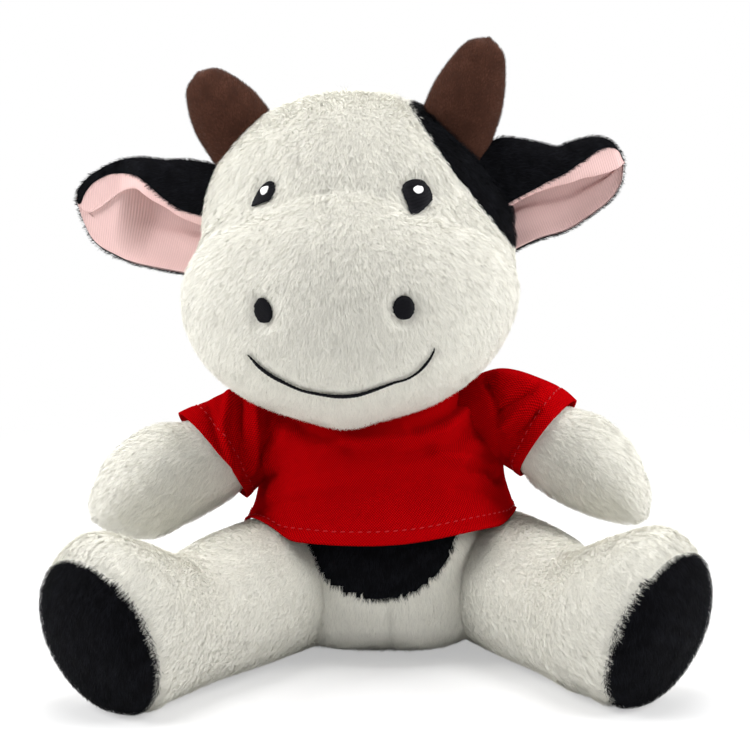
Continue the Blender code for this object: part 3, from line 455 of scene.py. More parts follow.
# Each plush: its colour, its backing's dark and light tints, its fibres' tints, their sheen and its pile
PLUSHES = {
    "white": (WHITE, (0.80, 0.95), (0.96, 1.0, 1.04), 0.1, WHITE_PILE),
    "black": (BLACK, (0.6, 1.0), (0.6, 1.0, 1.8), 0.0, BLACK_PILE),
    "brown": (BROWN, (0.6, 1.2), (0.7, 1.0, 1.5), 0.15, BROWN_PILE),
}
# Fine noise in a material: its scale and detail, and the strength and depth of the relief
BACKING_NOISE = (900.0, 3.0)
BACKING_RELIEF = (0.6, 0.0006)
THREAD_NOISE = (3200.0, 2.0)
THREAD_RELIEF = (0.25, 0.0001)
KNIT_NOISE = (420.0, 2.0)
KNIT_DEPTH = 0.0003
# A knit's mottle as a share of its tone and that tone's least share, and how sharply its painted light peaks
KNIT_MOTTLE_SHARES = (0.30, 0.80)
KNIT_PAINTED_LIGHT_SHARPNESS = 1.4
PIXEL_SIZE = 0.00031
# Each lamp: its place, its size and its power
LAMPS = {
    "key": ((-0.88, -0.18, 0.66), 0.60, 10.2),
    "fill": ((0.90, -0.18, 0.60), 0.60, 9.2),
    "top": ((0.0, -0.12, 1.25), 0.80, 10.4),
    "back": ((0.1, 0.95, 0.70), 0.80, 4.0),
}
LAMP_AIM = (0.0, 0.0, 0.09)
# The room's light: from straight in front to a little behind, as the direction's Y, and its strengths there
WORLD_FADE = (-0.9, 0.2, 0.21, 0.46)
# The floor turns white away from the toy: nearest and furthest distance, and its glow's share at each
FLOOR_FADE = (0.10, 0.42, 0.45, 1.0)
FLOOR_GREY = (0.86, 0.86, 0.86)
FLOOR_HALF = 3.0


def unit(vectors):
    return vectors / np.maximum(np.linalg.norm(vectors, axis=-1, keepdims=True), 1e-12)


def bell(distance, height, width):
    """A rounded ridge of this height and width, at distances from its middle."""
    return height * np.exp(-((distance / width) ** 2))


def ripple(points, wavelength, seed, count=3):
    """Smooth noise vectors about zero at points, a sum of waves in fixed directions."""
    rng = np.random.default_rng(seed)
    total = np.zeros((len(points), count))
    for _ in range(7):
        direction = unit(rng.normal(size=3)) * 2 * pi / (wavelength * rng.uniform(0.7, 1.5))
        phase = rng.uniform(0, 2 * pi, size=count)
        total += np.sin((points @ direction)[:, None] + phase)
    return total / 7**0.5


def waved(points, wave_shape, seed):
    """Smooth noise at points, of a height and a wavelength."""
    height, wavelength = wave_shape
    return height * ripple(points, wavelength, seed, 1)[:, 0]


def run_along(points):
    """Distance along a path to each of its points."""
    return np.concatenate([[0.0], np.cumsum(np.linalg.norm(np.diff(points, axis=0), axis=1))])


def rows_at(run, rows, wanted):
    """Rows read off at wanted distances along their run."""
    return np.stack([np.interp(wanted, run, column) for column in rows.T], axis=1)


def smooth_rows(rows, count):
    """Evenly spaced rows on a smooth curve through the given ones."""
    rows = np.array(rows, float)
    step = np.maximum(np.linalg.norm(np.diff(rows, axis=0), axis=1), 1e-9) ** 0.5
    at = np.concatenate([[0.0], np.cumsum(step)])
    slope = np.gradient(rows, at, axis=0)
    fine = np.linspace(0, at[-1], 600)
    k = np.clip(np.searchsorted(at, fine, side="right") - 1, 0, len(at) - 2)
    h = (at[k + 1] - at[k])[:, None]
    t = ((fine - at[k])[:, None]) / h
    curve = (
        (2 * t**3 - 3 * t**2 + 1) * rows[k]
        + (t**3 - 2 * t**2 + t) * h * slope[k]
        + (3 * t**2 - 2 * t**3) * rows[k + 1]
        + (t**3 - t**2) * h * slope[k + 1]
    )
    run = run_along(curve)
    return rows_at(run, curve, np.linspace(0, run[-1], count))


def closed_curve(places, count):
    """Points on a smooth closed curve through the given ones."""
    places = np.array(places, float)
    total = len(places)
    at = np.arange(count) * total / count
    k = at.astype(int)
    f = (at - k)[:, None]
    a, b, c, d = (places[(k + i) % total] for i in (-1, 0, 1, 2))
    return b + 0.5 * f * (c - a + f * (2 * a - 5 * b + 4 * c - d + f * (3 * (b - c) + d - a)))


VIEW = unit(CAMERA_AIM - CAMERA_PLACE)
VIEW_RIGHT = unit(np.cross(VIEW, (0.0, 0.0, 1.0)))
VIEW_UP = np.cross(VIEW_RIGHT, VIEW)
FOCAL_PIXELS = PHOTO_WIDTH * CAMERA_LENS / SENSOR_WIDTH


def to_pixels(points):
    """Where the photograph shows points."""
    away = points - CAMERA_PLACE
    depth = away @ VIEW
    across = PHOTO_WIDTH / 2 + FOCAL_PIXELS * (away @ VIEW_RIGHT) / depth
    down = PHOTO_WIDTH / 2 - FOCAL_PIXELS * (away @ VIEW_UP) / depth
    return np.stack([across, down], axis=-1)


def pixel_rays(pixels):
    """Directions from the camera through the photograph's pixels."""
    pixels = np.array(pixels, float)
    across = (pixels[..., :1] - PHOTO_WIDTH / 2) / FOCAL_PIXELS
    down = (pixels[..., 1:] - PHOTO_WIDTH / 2) / FOCAL_PIXELS
    return unit(VIEW + across * VIEW_RIGHT - down * VIEW_UP)


def on_plane(pixels, place, normal):
    """The points of a plane that the photograph's pixels show."""
    rays = pixel_rays(pixels)
    reach = ((place - CAMERA_PLACE) @ normal) / (rays @ normal)
    return CAMERA_PLACE + rays * reach[..., None]


def on_surface(tree, pixels):
    """The points of a surface that the photograph's pixels show, with the normals there."""
    rays = pixel_rays(pixels).reshape(-1, 3)
    hits = [tree.ray_cast(Vector(CAMERA_PLACE), Vector(ray))[:2] for ray in rays]
    places = np.array([hit[0] for hit in hits])
    normals = np.array([hit[1] for hit in hits])
    shape = np.shape(pixels)[:-1] + (3,)
    return places.reshape(shape), normals.reshape(shape)


def path_distance(pixels, path):
    """Distance of pixels from an open path."""
    nearest = np.full(len(pixels), np.inf)
    path = np.array(path, float)
    for start, end in zip(path, path[1:]):
        along = end - start
        share = np.clip((pixels - start) @ along / (along @ along), 0, 1)
        nearest = np.minimum(nearest, np.linalg.norm(pixels - start - share[:, None] * along, axis=1))
    return nearest


def outline_distance(pixels, outline):
    """Distance of pixels from a closed outline, negative inside it."""
    loop = closed_curve(outline, 8 * len(outline))
    loop = np.vstack([loop, loop[:1]])
    inside = np.zeros(len(pixels), bool)
    for start, end in zip(loop, loop[1:]):
        if start[1] != end[1]:
            level = (start[1] > pixels[:, 1]) != (end[1] > pixels[:, 1])
            crossing = start[0] + (pixels[:, 1] - start[1]) * (end[0] - start[0]) / (end[1] - start[1])
            inside ^= level & (pixels[:, 0] < crossing)
    nearest = path_distance(pixels, loop)
    return np.where(inside, -nearest, nearest)


def fold_heights(points, normals, folds):
    """How high folds stand at points; they are drawn in the photograph, so only its side has them."""
    pixels = to_pixels(points)
    total = np.zeros(len(points))
    for *path, height, width in folds:
        total += bell(path_distance(pixels, path), height, width)
    return total * np.clip(-2 * normals @ VIEW, 0, 1)


def swelling(points, middle, radius, height):
    """How high a round swelling stands at points."""
    return bell(np.linalg.norm(points - middle, axis=1), height, radius)


class Surface:
    """A mesh as arrays of points and triangles, with outward normals at its points."""

    def __init__(self, points, triangles, uv=None):
        self.points = np.array(points, float)
        self.triangles = np.array(triangles, int)
        self.uv = uv
        self.refresh()

    def refresh(self):
        a, b, c = (self.points[self.triangles[:, i]] for i in range(3))
        cross = np.cross(b - a, c - a)
        self.areas = np.linalg.norm(cross, axis=1) / 2
        normals = np.zeros_like(self.points)
        for i in range(3):
            np.add.at(normals, self.triangles[:, i], cross)
        self.normals = unit(normals)

    def turned(self, score):
        """The surface itself, turned inside out where the score of its normals is negative."""
        if score < 0:
            self.triangles = self.triangles[:, ::-1].copy()
            self.refresh()
        return self

    def moved(self, offset):
        """Each point moved along its normal, by one distance or by one for each point."""
        offset = np.broadcast_to(offset, len(self.points))
        return Surface(self.points + self.normals * offset[:, None], self.triangles, self.uv)

    def part(self, keep):
        """The triangles whose centres pass a test."""
        centres = self.points[self.triangles].mean(axis=1)
        chosen = self.triangles[keep(centres)]
        used, renumbered = np.unique(chosen, return_inverse=True)
        made = Surface(self.points[used], renumbered.reshape(-1, 3))
        made.normals = self.normals[used]
        return made

    def scatter(self, density, rng):
        """Random points on the surface with their normals, so many for a square metre."""
        count = int(self.areas.sum() * density)
        picked = rng.choice(len(self.triangles), size=count, p=self.areas / self.areas.sum())
        share = rng.random((count, 2))
        over = share.sum(axis=1) > 1
        share[over] = 1 - share[over]
        weights = np.column_stack([1 - share.sum(axis=1), share])[:, :, None]
        corners = self.triangles[picked]
        places = (self.points[corners] * weights).sum(axis=1)
        return places, unit((self.normals[corners] * weights).sum(axis=1))

    def tree(self):
        return BVHTree.FromPolygons(self.points.tolist(), self.triangles.tolist())


def loft(rings, first_pole=None, last_pole=None):
    """A tube through rings of points, closed at an end where a pole is given."""
    rows, sides = rings.shape[:2]
    points = list(rings.reshape(-1, 3))
    triangles = []
    for row in range(rows - 1):
        for side in range(sides):
            a = row * sides + side
            b = row * sides + (side + 1) % sides
            c, d = b + sides, a + sides
            triangles += [(a, b, c), (a, c, d)]
    for pole, row in ((first_pole, 0), (last_pole, rows - 1)):
        if pole is None:
            continue
        points.append(pole)
        for side in range(sides):
            a = row * sides + side
            b = row * sides + (side + 1) % sides
            triangles.append((len(points) - 1, b, a) if row == 0 else (len(points) - 1, a, b))
    return Surface(np.array(points), np.array(triangles))


def grid(places, uv=None):
    """An open sheet over a grid of points."""
    rows, columns = places.shape[:2]
    triangles = []
    for row in range(rows - 1):
        for column in range(columns - 1):
            a = row * columns + column
            triangles += [(a, a + 1, a + columns + 1), (a, a + columns + 1, a + columns)]
    flat_uv = None if uv is None else uv.reshape(-1, 2)
    return Surface(places.reshape(-1, 3), triangles, flat_uv)


def outward(surface):
    """The surface with its normals away from its own middle."""
    return surface.turned(((surface.points - surface.points.mean(axis=0)) * surface.normals).sum())


def outward_solid(surface):
    """A closed body with its triangles turned out, by the sign of its volume."""
    a, b, c = (surface.points[surface.triangles[:, i]] for i in range(3))
    return surface.turned((a * np.cross(b, c)).sum())


def make_object(name, surface, materials):
    """A piece of the scene from a surface, shaded smooth."""
    mesh = bpy.data.meshes.new(name)
    count = len(surface.triangles)
    mesh.vertices.add(len(surface.points))
    mesh.vertices.foreach_set("co", surface.points.astype(np.float32).ravel())
    mesh.loops.add(count * 3)
    mesh.loops.foreach_set("vertex_index", surface.triangles.astype(np.int32).ravel())
    mesh.polygons.add(count)
    mesh.polygons.foreach_set("loop_start", np.arange(0, count * 3, 3, dtype=np.int32))
    mesh.update(calc_edges=True)
    mesh.shade_smooth()
    for item in materials if isinstance(materials, list) else [materials]:
        mesh.materials.append(item)
    if surface.uv is not None:
        layer = mesh.uv_layers.new(name="cloth")
        layer.data.foreach_set("uv", surface.uv[surface.triangles.ravel()].astype(np.float32).ravel())
    obj = bpy.data.objects.new(name, mesh)
    bpy.context.scene.collection.objects.link(obj)
    return obj


def join(surfaces):
    points, triangles, start = [], [], 0
    for surface in surfaces:
        points.append(surface.points)
        triangles.append(surface.triangles + start)
        start += len(surface.points)
    return Surface(np.concatenate(points), np.concatenate(triangles))


# Materials


def feed(tree, target, values):
    """A node's inputs set to values, or linked where the value is another node's output."""
    for key, value in values.items():
        if isinstance(value, bpy.types.NodeSocket):
            tree.links.new(value, target.inputs[key])
        else:
            target.inputs[key].default_value = value


def node(tree, kind, values=None, **settings):
    made = tree.nodes.new(kind)
    for key, value in settings.items():
        setattr(made, key, value)
    feed(tree, made, values or {})
    return made


def worked(tree, operation, *values, clamp=False):
    """What an operation makes of numbers and other nodes' outputs."""
    made = node(tree, "ShaderNodeMath", dict(enumerate(values)), operation=operation, use_clamp=clamp)
    return made.outputs[0]


def ranged(tree, value, ends, **settings):
    """A value carried from one range to another: the first one's two ends, then the second one's."""
    values = dict(zip(("From Min", "From Max", "To Min", "To Max"), ends))
    return node(tree, "ShaderNodeMapRange", {**values, "Value": value}, **settings).outputs["Result"]


def noise(tree, scale, detail):
    """Fine noise through a piece's own space."""
    values = {"Scale": scale, "Detail": detail, "Vector": node(tree, "ShaderNodeTexCoord").outputs["Object"]}
    return node(tree, "ShaderNodeTexNoise", values).outputs["Fac"]


def mixed(tree, share, dark, light):
    values = {"Factor": share, "A": (*dark, 1.0), "B": (*light, 1.0)}
    return node(tree, "ShaderNodeMix", values, data_type="RGBA").outputs["Result"]


def wave(tree, value, period):
    """A sine of a coordinate in metres."""
    return worked(tree, "SINE", worked(tree, "MULTIPLY", value, 2 * pi / period))


def new_material(name, colour, values):
    made = bpy.data.materials.new(name)
    made.use_nodes = True
    shader = made.node_tree.nodes["Principled BSDF"]
    feed(made.node_tree, shader, {"Base Color": (*colour, 1.0), "Specular IOR Level": 0.06, **values})
    return made, shader


def finish_material(made, shader, tone, height, strength, distance):
    """The material with its tone, and with a surface that its height roughens."""
    tree = made.node_tree
    values = {"Strength": strength, "Distance": distance, "Height": height}
    relief = node(tree, "ShaderNodeBump", values)
    feed(tree, shader, {"Base Color": tone, "Normal": relief.outputs["Normal"]})
    return made


def tinted(colour, factor):
    return tuple(min(value * factor, 1.0) for value in colour)


def fibre_material(name, colour, sheen):
    values = {"Roughness": 0.75, "Sheen Weight": sheen, "Sheen Roughness": 0.4}
    return new_material(name, colour, values)[0]


def backing_material(name, dark, light):
    """The backing between the fibres: a mottled colour with a rough, tufted surface."""
    made, shader = new_material(name, light, {"Roughness": 0.9})
    mottle = noise(made.node_tree, *BACKING_NOISE)
    tone = mixed(made.node_tree, mottle, dark, light)
    return finish_material(made, shader, tone, mottle, *BACKING_RELIEF)


def thread_material(name, colour, roughness):
    """Twisted thread: fine strands that vary a little in tone and catch the light unevenly."""
    made, shader = new_material(name, colour, {"Roughness": roughness})
    strands = noise(made.node_tree, *THREAD_NOISE)
    tone = mixed(made.node_tree, strands, *(tinted(colour, tint) for tint in THREAD_TINTS))
    return finish_material(made, shader, tone, strands, *THREAD_RELIEF)


def knit_material(name, dark, light, wale, course, strength, roughness, tint):
    """A knit of stitches a wale apart in rows a course apart, or of plain ribs where there is no course."""
    sheen = {"Sheen Weight": 0.10, "Sheen Roughness": 0.35, "Sheen Tint": (*tint, 1.0)}
    made, shader = new_material(name, light, {"Roughness": roughness, "Specular IOR Level": 0.0, **sheen})
    tree = made.node_tree
    uv = node(tree, "ShaderNodeUVMap", uv_map="cloth").outputs["UV"]
    split = node(tree, "ShaderNodeSeparateXYZ", {0: uv}).outputs
    rows = wave(tree, split["Y"], course) if course else 1.0
    loops = worked(tree, "MULTIPLY", wave(tree, split["X"], wale), rows)
    height = worked(tree, "MULTIPLY_ADD", loops, 0.5, 0.5)
    mottle = worked(tree, "MULTIPLY_ADD", noise(tree, *KNIT_NOISE), *KNIT_MOTTLE_SHARES)
    # Tone by the stitches' height: painted shade in their hollows, painted light on their tops, times a random
    # mottle
    share = worked(tree, "MULTIPLY", worked(tree, "POWER", height, KNIT_PAINTED_LIGHT_SHARPNESS), mottle, clamp=True)
    return finish_material(made, shader, mixed(tree, share, dark, light), height, strength, KNIT_DEPTH)


plush_materials = {}
for kind, (colour, backing_tints, fibre_tints, sheen, _) in PLUSHES.items():
    plush_materials[kind] = (
        backing_material(kind + "_backing", *(tinted(colour, tint) for tint in backing_tints)),
        [fibre_material(f"{kind}_fibre_{i}", tinted(colour, f), sheen) for i, f in enumerate(fibre_tints)],
    )
# Each knit is darker in its hollows as painted shade and lighter on its stitches or ribs as painted light
red_knit = knit_material("red_jersey", RED_IN_PAINTED_SHADE, RED_IN_PAINTED_LIGHT, 0.00082, 0.00085, 0.8, 0.50, (1.0, 0.03, 0.04))
pink_knit = knit_material("pink_knit", tinted(PINK, 0.93), tinted(PINK, 1.04), 0.0008, 0, 0.25, 0.85, PINK)
dark_thread = thread_material("dark_thread", THREAD_DARK, 0.45)
white_thread = thread_material("white_thread", THREAD_WHITE, 0.4)
red_thread = thread_material("red_thread", THREAD_RED, 0.5)


# Forms


def lean(points):
    points = np.array(points, float)
    share = np.clip(points[..., 2] / BODY_HEIGHT, 0, 1)
    moved = points.copy()
    moved[..., 0] -= NECK_SHIFT * share**2
    moved[..., 2] += tan(BODY_LEAN) * points[..., 0] * share
    return moved


NECK_TOP = lean((0, 0, BODY_HEIGHT))
HEAD_CENTRE = NECK_TOP + np.array((-HEAD_ASIDE, 0, CRANIUM_HALF[2] - CRANIUM_CENTRE[2] - HEAD_SINK))
HEAD_TURN = np.array(Matrix.Rotation(HEAD_YAW, 3, "Z") @ Matrix.Rotation(HEAD_ROLL, 3, "Y"))


def from_head(points):
    return points @ HEAD_TURN.T + HEAD_CENTRE


def to_head(points):
    return (points - HEAD_CENTRE) @ HEAD_TURN


def oval_reach(directions, centre, half):
    """How far an oval reaches from the middle of the head in these directions."""
    d = directions / half
    c = centre / half
    along = d @ c
    square = (d**2).sum(axis=-1)
    return (along + np.sqrt(along**2 - square * (c @ c - 1.0))) / square


SEAM_NORMAL = np.array((0.0, cos(MUZZLE_SEAM_TILT), sin(MUZZLE_SEAM_TILT)))
SEAM_ARCH = smooth_rows(SEAM_ARCH_ROWS, 100)
PATCH_NORMAL = np.array((cos(PATCH_TILT), 0.0, sin(PATCH_TILT)))
FACE_OUTLINES = [*EYE_PIXELS.values(), *NOSTRIL_PIXELS.values()]


def past_seam(local):
    """Distance of points behind the muzzle's seam, negative on the muzzle."""
    arch = np.interp(np.abs(local[..., 0]), SEAM_ARCH[:, 0], SEAM_ARCH[:, 1])
    return (local - MUZZLE_SEAM_MIDDLE) @ SEAM_NORMAL - arch


def past_patch(local):
    """Distance of points past the seam of the brow's panel."""
    return local @ PATCH_NORMAL - PATCH_OUT


def face_distance(points):
    """Distance in pixels from the nearest pad of the face, and from the mouth."""
    pixels = to_pixels(points)
    pads = np.min([outline_distance(pixels, outline) for outline in FACE_OUTLINES], axis=0)
    return np.maximum(pads, 0), path_distance(pixels, MOUTH_PIXELS)


def head_surface():
    bm = bmesh.new()
    bmesh.ops.create_icosphere(bm, subdivisions=7, radius=1.0)
    directions = unit(np.array([vertex.co for vertex in bm.verts]))
    triangles = np.array([[vertex.index for vertex in face.verts] for face in bm.faces])
    bm.free()
    cranium = oval_reach(directions, CRANIUM_CENTRE, CRANIUM_HALF)
    muzzle = oval_reach(directions, MUZZLE_CENTRE, MUZZLE_HALF)
    nearness = np.maximum(HEAD_BLEND - np.abs(cranium - muzzle), 0) / HEAD_BLEND
    reach = np.maximum(cranium, muzzle) + nearness**2 * HEAD_BLEND / 4
    local = directions * reach[:, None]
    behind = past_seam(local)
    for bulge in HEAD_BULGES:
        reach += swelling(local, *bulge)
    reach -= bell(behind, *SEAM_GROOVE)
    reach -= bell(past_patch(local), *PATCH_GROOVE) * (behind > 0)
    dart = bell(local[:, 0] - DART_ASIDE, *DART_GROOVE) * np.clip(1 + behind / DART_LENGTH, 0, 1)
    reach -= dart * (behind < 0) * (local[:, 1] < 0)
    reach -= bell(local[:, 0], *BACK_GROOVE) * (local[:, 1] > 0)
    surface = outward(Surface(from_head(directions * reach[:, None]), triangles))
    pads, mouth = face_distance(surface.points)
    facing = surface.normals @ VIEW < 0
    return surface.moved(-(bell(pads, *PAD_DENT) + bell(mouth, *MOUTH_DENT)) * facing)


def ring_points(centres, across, upwards, sides):
    """Rings of points round centres, from their half axes."""
    turn = np.arange(sides) * 2 * pi / sides
    return (
        centres[:, None, :]
        + across[:, None, :] * np.cos(turn)[None, :, None]
        + upwards[:, None, :] * np.sin(turn)[None, :, None]
    )


def capped(rows, tip):
    """Rows with mirrored ones past the tip, so that a curve through them closes round it."""
    closing = [tip] + [(2 * tip[0] - row[0], *(-value for value in row[1:])) for row in rows[::-1][:2]]
    return rows + closing


def closing_rows(rows, tip, length, count):
    """Smooth rows from the first to the tip, whose last half axes are nearly nothing."""
    scaled = [(row[0] * length, *row[1:]) for row in capped(rows, tip)]
    fine = smooth_rows(scaled, 500)
    fine = fine[:np.argmax(fine[:, 1] <= 0.02 * fine[:, 1].max())]
    run = run_along(fine)
    return rows_at(run, fine, np.linspace(0, run[-1], count))


def body_surface():
    half_width, half_depth = BODY_WIDTH / 2, BODY_DEPTH / 2
    rows = [(height * BODY_HEIGHT, half_width * w, half_depth * d) for height, w, d in BODY_SHARES]
    count, sides = RINGS["body"]
    fine = smooth_rows([(0.0, rows[0][1] * BODY_SEAT_SHARE, rows[0][2] * BODY_SEAT_SHARE)] + rows, count)
    centres, across, upwards = (
        np.outer(fine[:, column], axis) for column, axis in ((0, (0, 0, 1)), (1, (1, 0, 0)), (2, (0, 1, 0)))
    )
    rings = lean(ring_points(centres, across, upwards, sides))
    return outward(loft(rings, lean((0, 0, 0.0004)), lean((0, 0, BODY_HEIGHT))))


def limb_axes(along):
    across = unit(np.cross(along, (0, 0, 1)))
    return across, unit(np.cross(across, along))


def body_half(height):
    """Half the body's width and half its depth at a height."""
    share, wide, deep = np.transpose(BODY_SHARES)
    at = height / BODY_HEIGHT
    return np.interp(at, share, wide) * BODY_WIDTH / 2, np.interp(at, share, deep) * BODY_DEPTH / 2


def shoulder(side):
    out = body_half(SHOULDER_HEIGHT)[0] + SHOULDER_OUT
    return lean((SIDES[side] * out, -SHOULDER_FORWARD, SHOULDER_HEIGHT))


def arm_direction(side):
    level = cos(ARM_DROOP)
    return np.array((SIDES[side] * level * cos(ARM_FORWARD), -level * sin(ARM_FORWARD), -sin(ARM_DROOP)))


def arm_width(reach):
    """Half the width of an arm, from front to back, at a reach from its shoulder."""
    growth = np.interp(np.asarray(reach) / ARM_REACH, *np.transpose(ARM_SHARES))
    return ARM_ROOT_RADIUS + (HAND_RADIUS - ARM_ROOT_RADIUS) * growth


def arm_surface(side):
    """An arm whose edges are the photograph's, in the upright plane along the arm."""
    pivot, along = shoulder(side), arm_direction(side)
    across, upwards = limb_axes(along)
    edges = {}
    for edge, pixels in ARM_PIXELS[side].items():
        path = on_plane(smooth_rows(pixels, 300), pivot, across) - pivot
        edges[edge] = (np.maximum.accumulate(path @ along), path @ upwards)
    tip = max(run[-1] for run, _ in edges.values())
    count, sides = RINGS["arm"]
    reach = -ARM_ROOT + (tip + ARM_ROOT) * np.sin(np.linspace(0, 0.998 * pi / 2, count))
    top, bottom = np.interp(reach, *edges["top"]), np.interp(reach, *edges["bottom"])
    rounding = np.clip(1 - (tip - reach) / (1.3 * HAND_RADIUS), 0, 1)
    width = arm_width(reach) * np.sqrt(1 - rounding**2)
    centres = pivot + np.outer(reach, along) + np.outer((top + bottom) / 2, upwards)
    rings = ring_points(centres, np.outer(width, across), np.outer((top - bottom) / 2, upwards), sides)
    return outward(loft(rings, centres[0], centres[-1] + along * 0.0001))


def sleeve_edges(side, count):
    """The top and bottom edges of a sleeve from armhole to hem, in the same plane as its arm's."""
    across, _ = limb_axes(arm_direction(side))
    edges = SLEEVE_PIXELS[side]
    return [on_plane(smooth_rows(edges[name], count), shoulder(side), across) for name in ("top", "bottom")]


def past_hem(side, points):
    """Distance of points past a sleeve's hem, towards the hand."""
    top, bottom = (edge[-1] for edge in sleeve_edges(side, 12))
    along = arm_direction(side)
    outwards = np.cross(top - bottom, limb_axes(along)[0])
    return (points - (top + bottom) / 2) @ unit(outwards * np.sign(outwards @ along))


def hip(side):
    return np.array((SIDES[side] * HIP_OUT[side], HIP_BACK[side], 0.0))


def leg_facing(side, share):
    """The way a leg points where it has this share of its sole's turn and tilt."""
    share = np.asarray(share, float)
    turn = LEG_TURN[side] + (SOLE_TURN[side] - LEG_TURN[side]) * share
    level = np.cos(SOLE_TILT * share)
    across = SIDES[side] * level * np.sin(turn)
    return np.stack([across, -level * np.cos(turn), -np.sin(SOLE_TILT * share)], axis=-1)


def leg_centre(side, reach):
    """The middle of a leg at a share of its reach."""
    reach = np.asarray(reach, float)
    in_leg = np.minimum(reach, FOOT_FROM_SHARE)[..., None]
    centre = hip(side) + leg_facing(side, 0) * LEG_REACH * in_leg
    centre = centre + leg_facing(side, 1) * LEG_REACH * (reach[..., None] - in_leg)
    drop = sin(SOLE_TILT) * LEG_REACH * (reach - FOOT_WIDEST_SHARE)
    centre[..., 2] = FOOT_HEIGHT / 2 * cos(SOLE_TILT) - np.maximum(drop, 0) - SETTLE
    return centre


def past_sole(side, points):
    """Distance of points past the sole's seam."""
    return (points - leg_centre(side, 1 - SOLE_FROM_TIP / LEG_REACH)) @ leg_facing(side, 1)


def leg_surface(side):
    rows = [(reach, FOOT_WIDTH / 2 * w, FOOT_HEIGHT / 2 * h) for reach, w, h, _ in LEG_SHARES]
    count, sides = RINGS["leg"]
    fine = closing_rows(rows, (1.0, 0.0, 0.0), LEG_REACH, count)
    reach, height = fine[:, 0] / LEG_REACH, fine[:, 2] / (FOOT_HEIGHT / 2)
    shares = np.array(LEG_SHARES)
    across, upwards = limb_axes(leg_facing(side, np.interp(reach, shares[:, 0], shares[:, 3])))
    centres = leg_centre(side, reach)
    lying = fine[:, 2] * upwards[:, 2] + FOOT_HEIGHT / 2 * (1 - height) * ANKLE_LIFT_SHARE - SETTLE
    widest = np.argmin(np.abs(reach - FOOT_WIDEST_SHARE))
    lifted = (lying - centres[:, 2])[widest] * np.clip((1 - reach) / (1 - FOOT_WIDEST_SHARE), 0, 1)
    centres[:, 2] = np.where(reach <= FOOT_WIDEST_SHARE, lying, centres[:, 2] + lifted)
    rings = ring_points(centres, across * fine[:, 1:2], upwards * fine[:, 2:3], sides)
    surface = outward(loft(rings, leg_centre(side, -LEG_ROOT / LEG_REACH), leg_centre(side, 1)))
    return surface.moved(-bell(past_sole(side, surface.points), *SOLE_GROOVE))


def on_cranium(side, turn):
    """The place on the cranium's oval, in the head's own axes, at a turn from its top towards a side."""
    wide, _, tall = CRANIUM_HALF
    return CRANIUM_CENTRE + np.array((SIDES[side] * wide * sin(turn), 0, tall * cos(turn)))


def horn_surface(side):
    sign, length = SIDES[side], HORN_LENGTH[side]
    base = on_cranium(side, HORN_PLACE)
    along = np.array((sign * sin(HORN_LEAN[side]), 0, cos(HORN_LEAN[side])))
    across = np.array((cos(HORN_LEAN[side]), 0, -sign * sin(HORN_LEAN[side])))
    rows = [(-HORN_ROOT / length, HORN_WIDTH / 2, HORN_DEPTH / 2)]
    rows += [(reach, HORN_WIDTH / 2 * w, HORN_DEPTH / 2 * w) for reach, w in HORN_SHARES]
    count, sides = RINGS["horn"]
    fine = closing_rows(rows, (1.0, 0.0, 0.0), length, count)
    deep = np.outer(fine[:, 2], (0, 1, 0))
    rings = ring_points(base + along * fine[:, :1], across * fine[:, 1:2], deep, sides)
    return outward(loft(*map(from_head, (rings, base - along * HORN_ROOT, base + along * length))))


def ear_axes(side):
    """An ear's root, and the directions along it, up it and out of its front."""
    sign, level = SIDES[side], cos(EAR_RISE[side])
    along = np.array((sign * level * cos(EAR_BACK_SWEEP), level * sin(EAR_BACK_SWEEP), sin(EAR_RISE[side])))
    forwards = np.array((0.0, -1.0, 0.0))
    forwards = unit(forwards - along * (forwards @ along))
    upwards = np.cross(along, forwards) * -sign
    root = from_head(on_cranium(side, EAR_PLACE[side]))
    return root, along @ HEAD_TURN.T, upwards @ HEAD_TURN.T, forwards @ HEAD_TURN.T


def ear_section(side, top, flap, roll, bottom, share):
    """One loop round an ear, as heights between its edges and how far each point stands forward.

    The first part is the lining, from the lower edge up the cup, round inside the fold and out over the
    roll; the second is the back, over the flap and down behind.
    """
    tall = max(top - bottom, 0.0001)
    fade_from, fade_to = EAR_FADE_SHARES[side]
    faded = np.clip((share - fade_from) / (fade_to - fade_from), 0, 1)
    size = (1 - (1 - EAR_TIP_SHARES[side]) * faded**2 * (3 - 2 * faded)) * min(1, tall / EAR_FULL_HEIGHT)
    thick = EAR_THICKNESS * (EAR_LEAST_SHARE + (1 - EAR_LEAST_SHARE) * size)
    rise, cup = EAR_FLAP_RISE * size, EAR_CUP_DEPTH[side] * size
    fold = min(thick, 0.55 * (top - flap))
    inner = roll + (top - fold - roll) * min(1, 1.2 * size)
    lining = [
        (bottom, 0.2 * cup),
        (bottom + 0.10 * tall, -0.25 * cup),
        (bottom + 0.30 * tall, -0.70 * cup),
        (0.5 * (bottom + roll) + 0.12 * tall, -cup),
        (0.4 * roll + 0.6 * inner, -0.85 * cup),
        (inner, -0.1 * cup),
        (0.5 * (inner + roll), 0.25 * rise),
        (roll + 0.15 * (flap - roll), 0.45 * rise),
        (roll, 0.65 * rise),
        (0.5 * (roll + flap), 0.93 * rise),
        (flap, rise),
    ]
    back = [
        (flap, rise + 0.1 * thick),
        (flap + 0.3 * (top - flap), 1.08 * rise + 0.1 * thick),
        (flap + 0.75 * (top - flap), 0.85 * rise),
        (top, 0.25 * rise),
        (top - 0.25 * thick, -0.45 * thick),
        (top - 0.2 * tall, -cup - 0.6 * thick),
        (0.5 * (top + bottom), -1.25 * cup - 0.7 * thick),
        (bottom + 0.15 * tall, -0.55 * cup - 0.6 * thick),
        (bottom - 0.02 * tall, -0.15 * cup),
        (bottom, 0.2 * cup),
    ]
    return lining, back


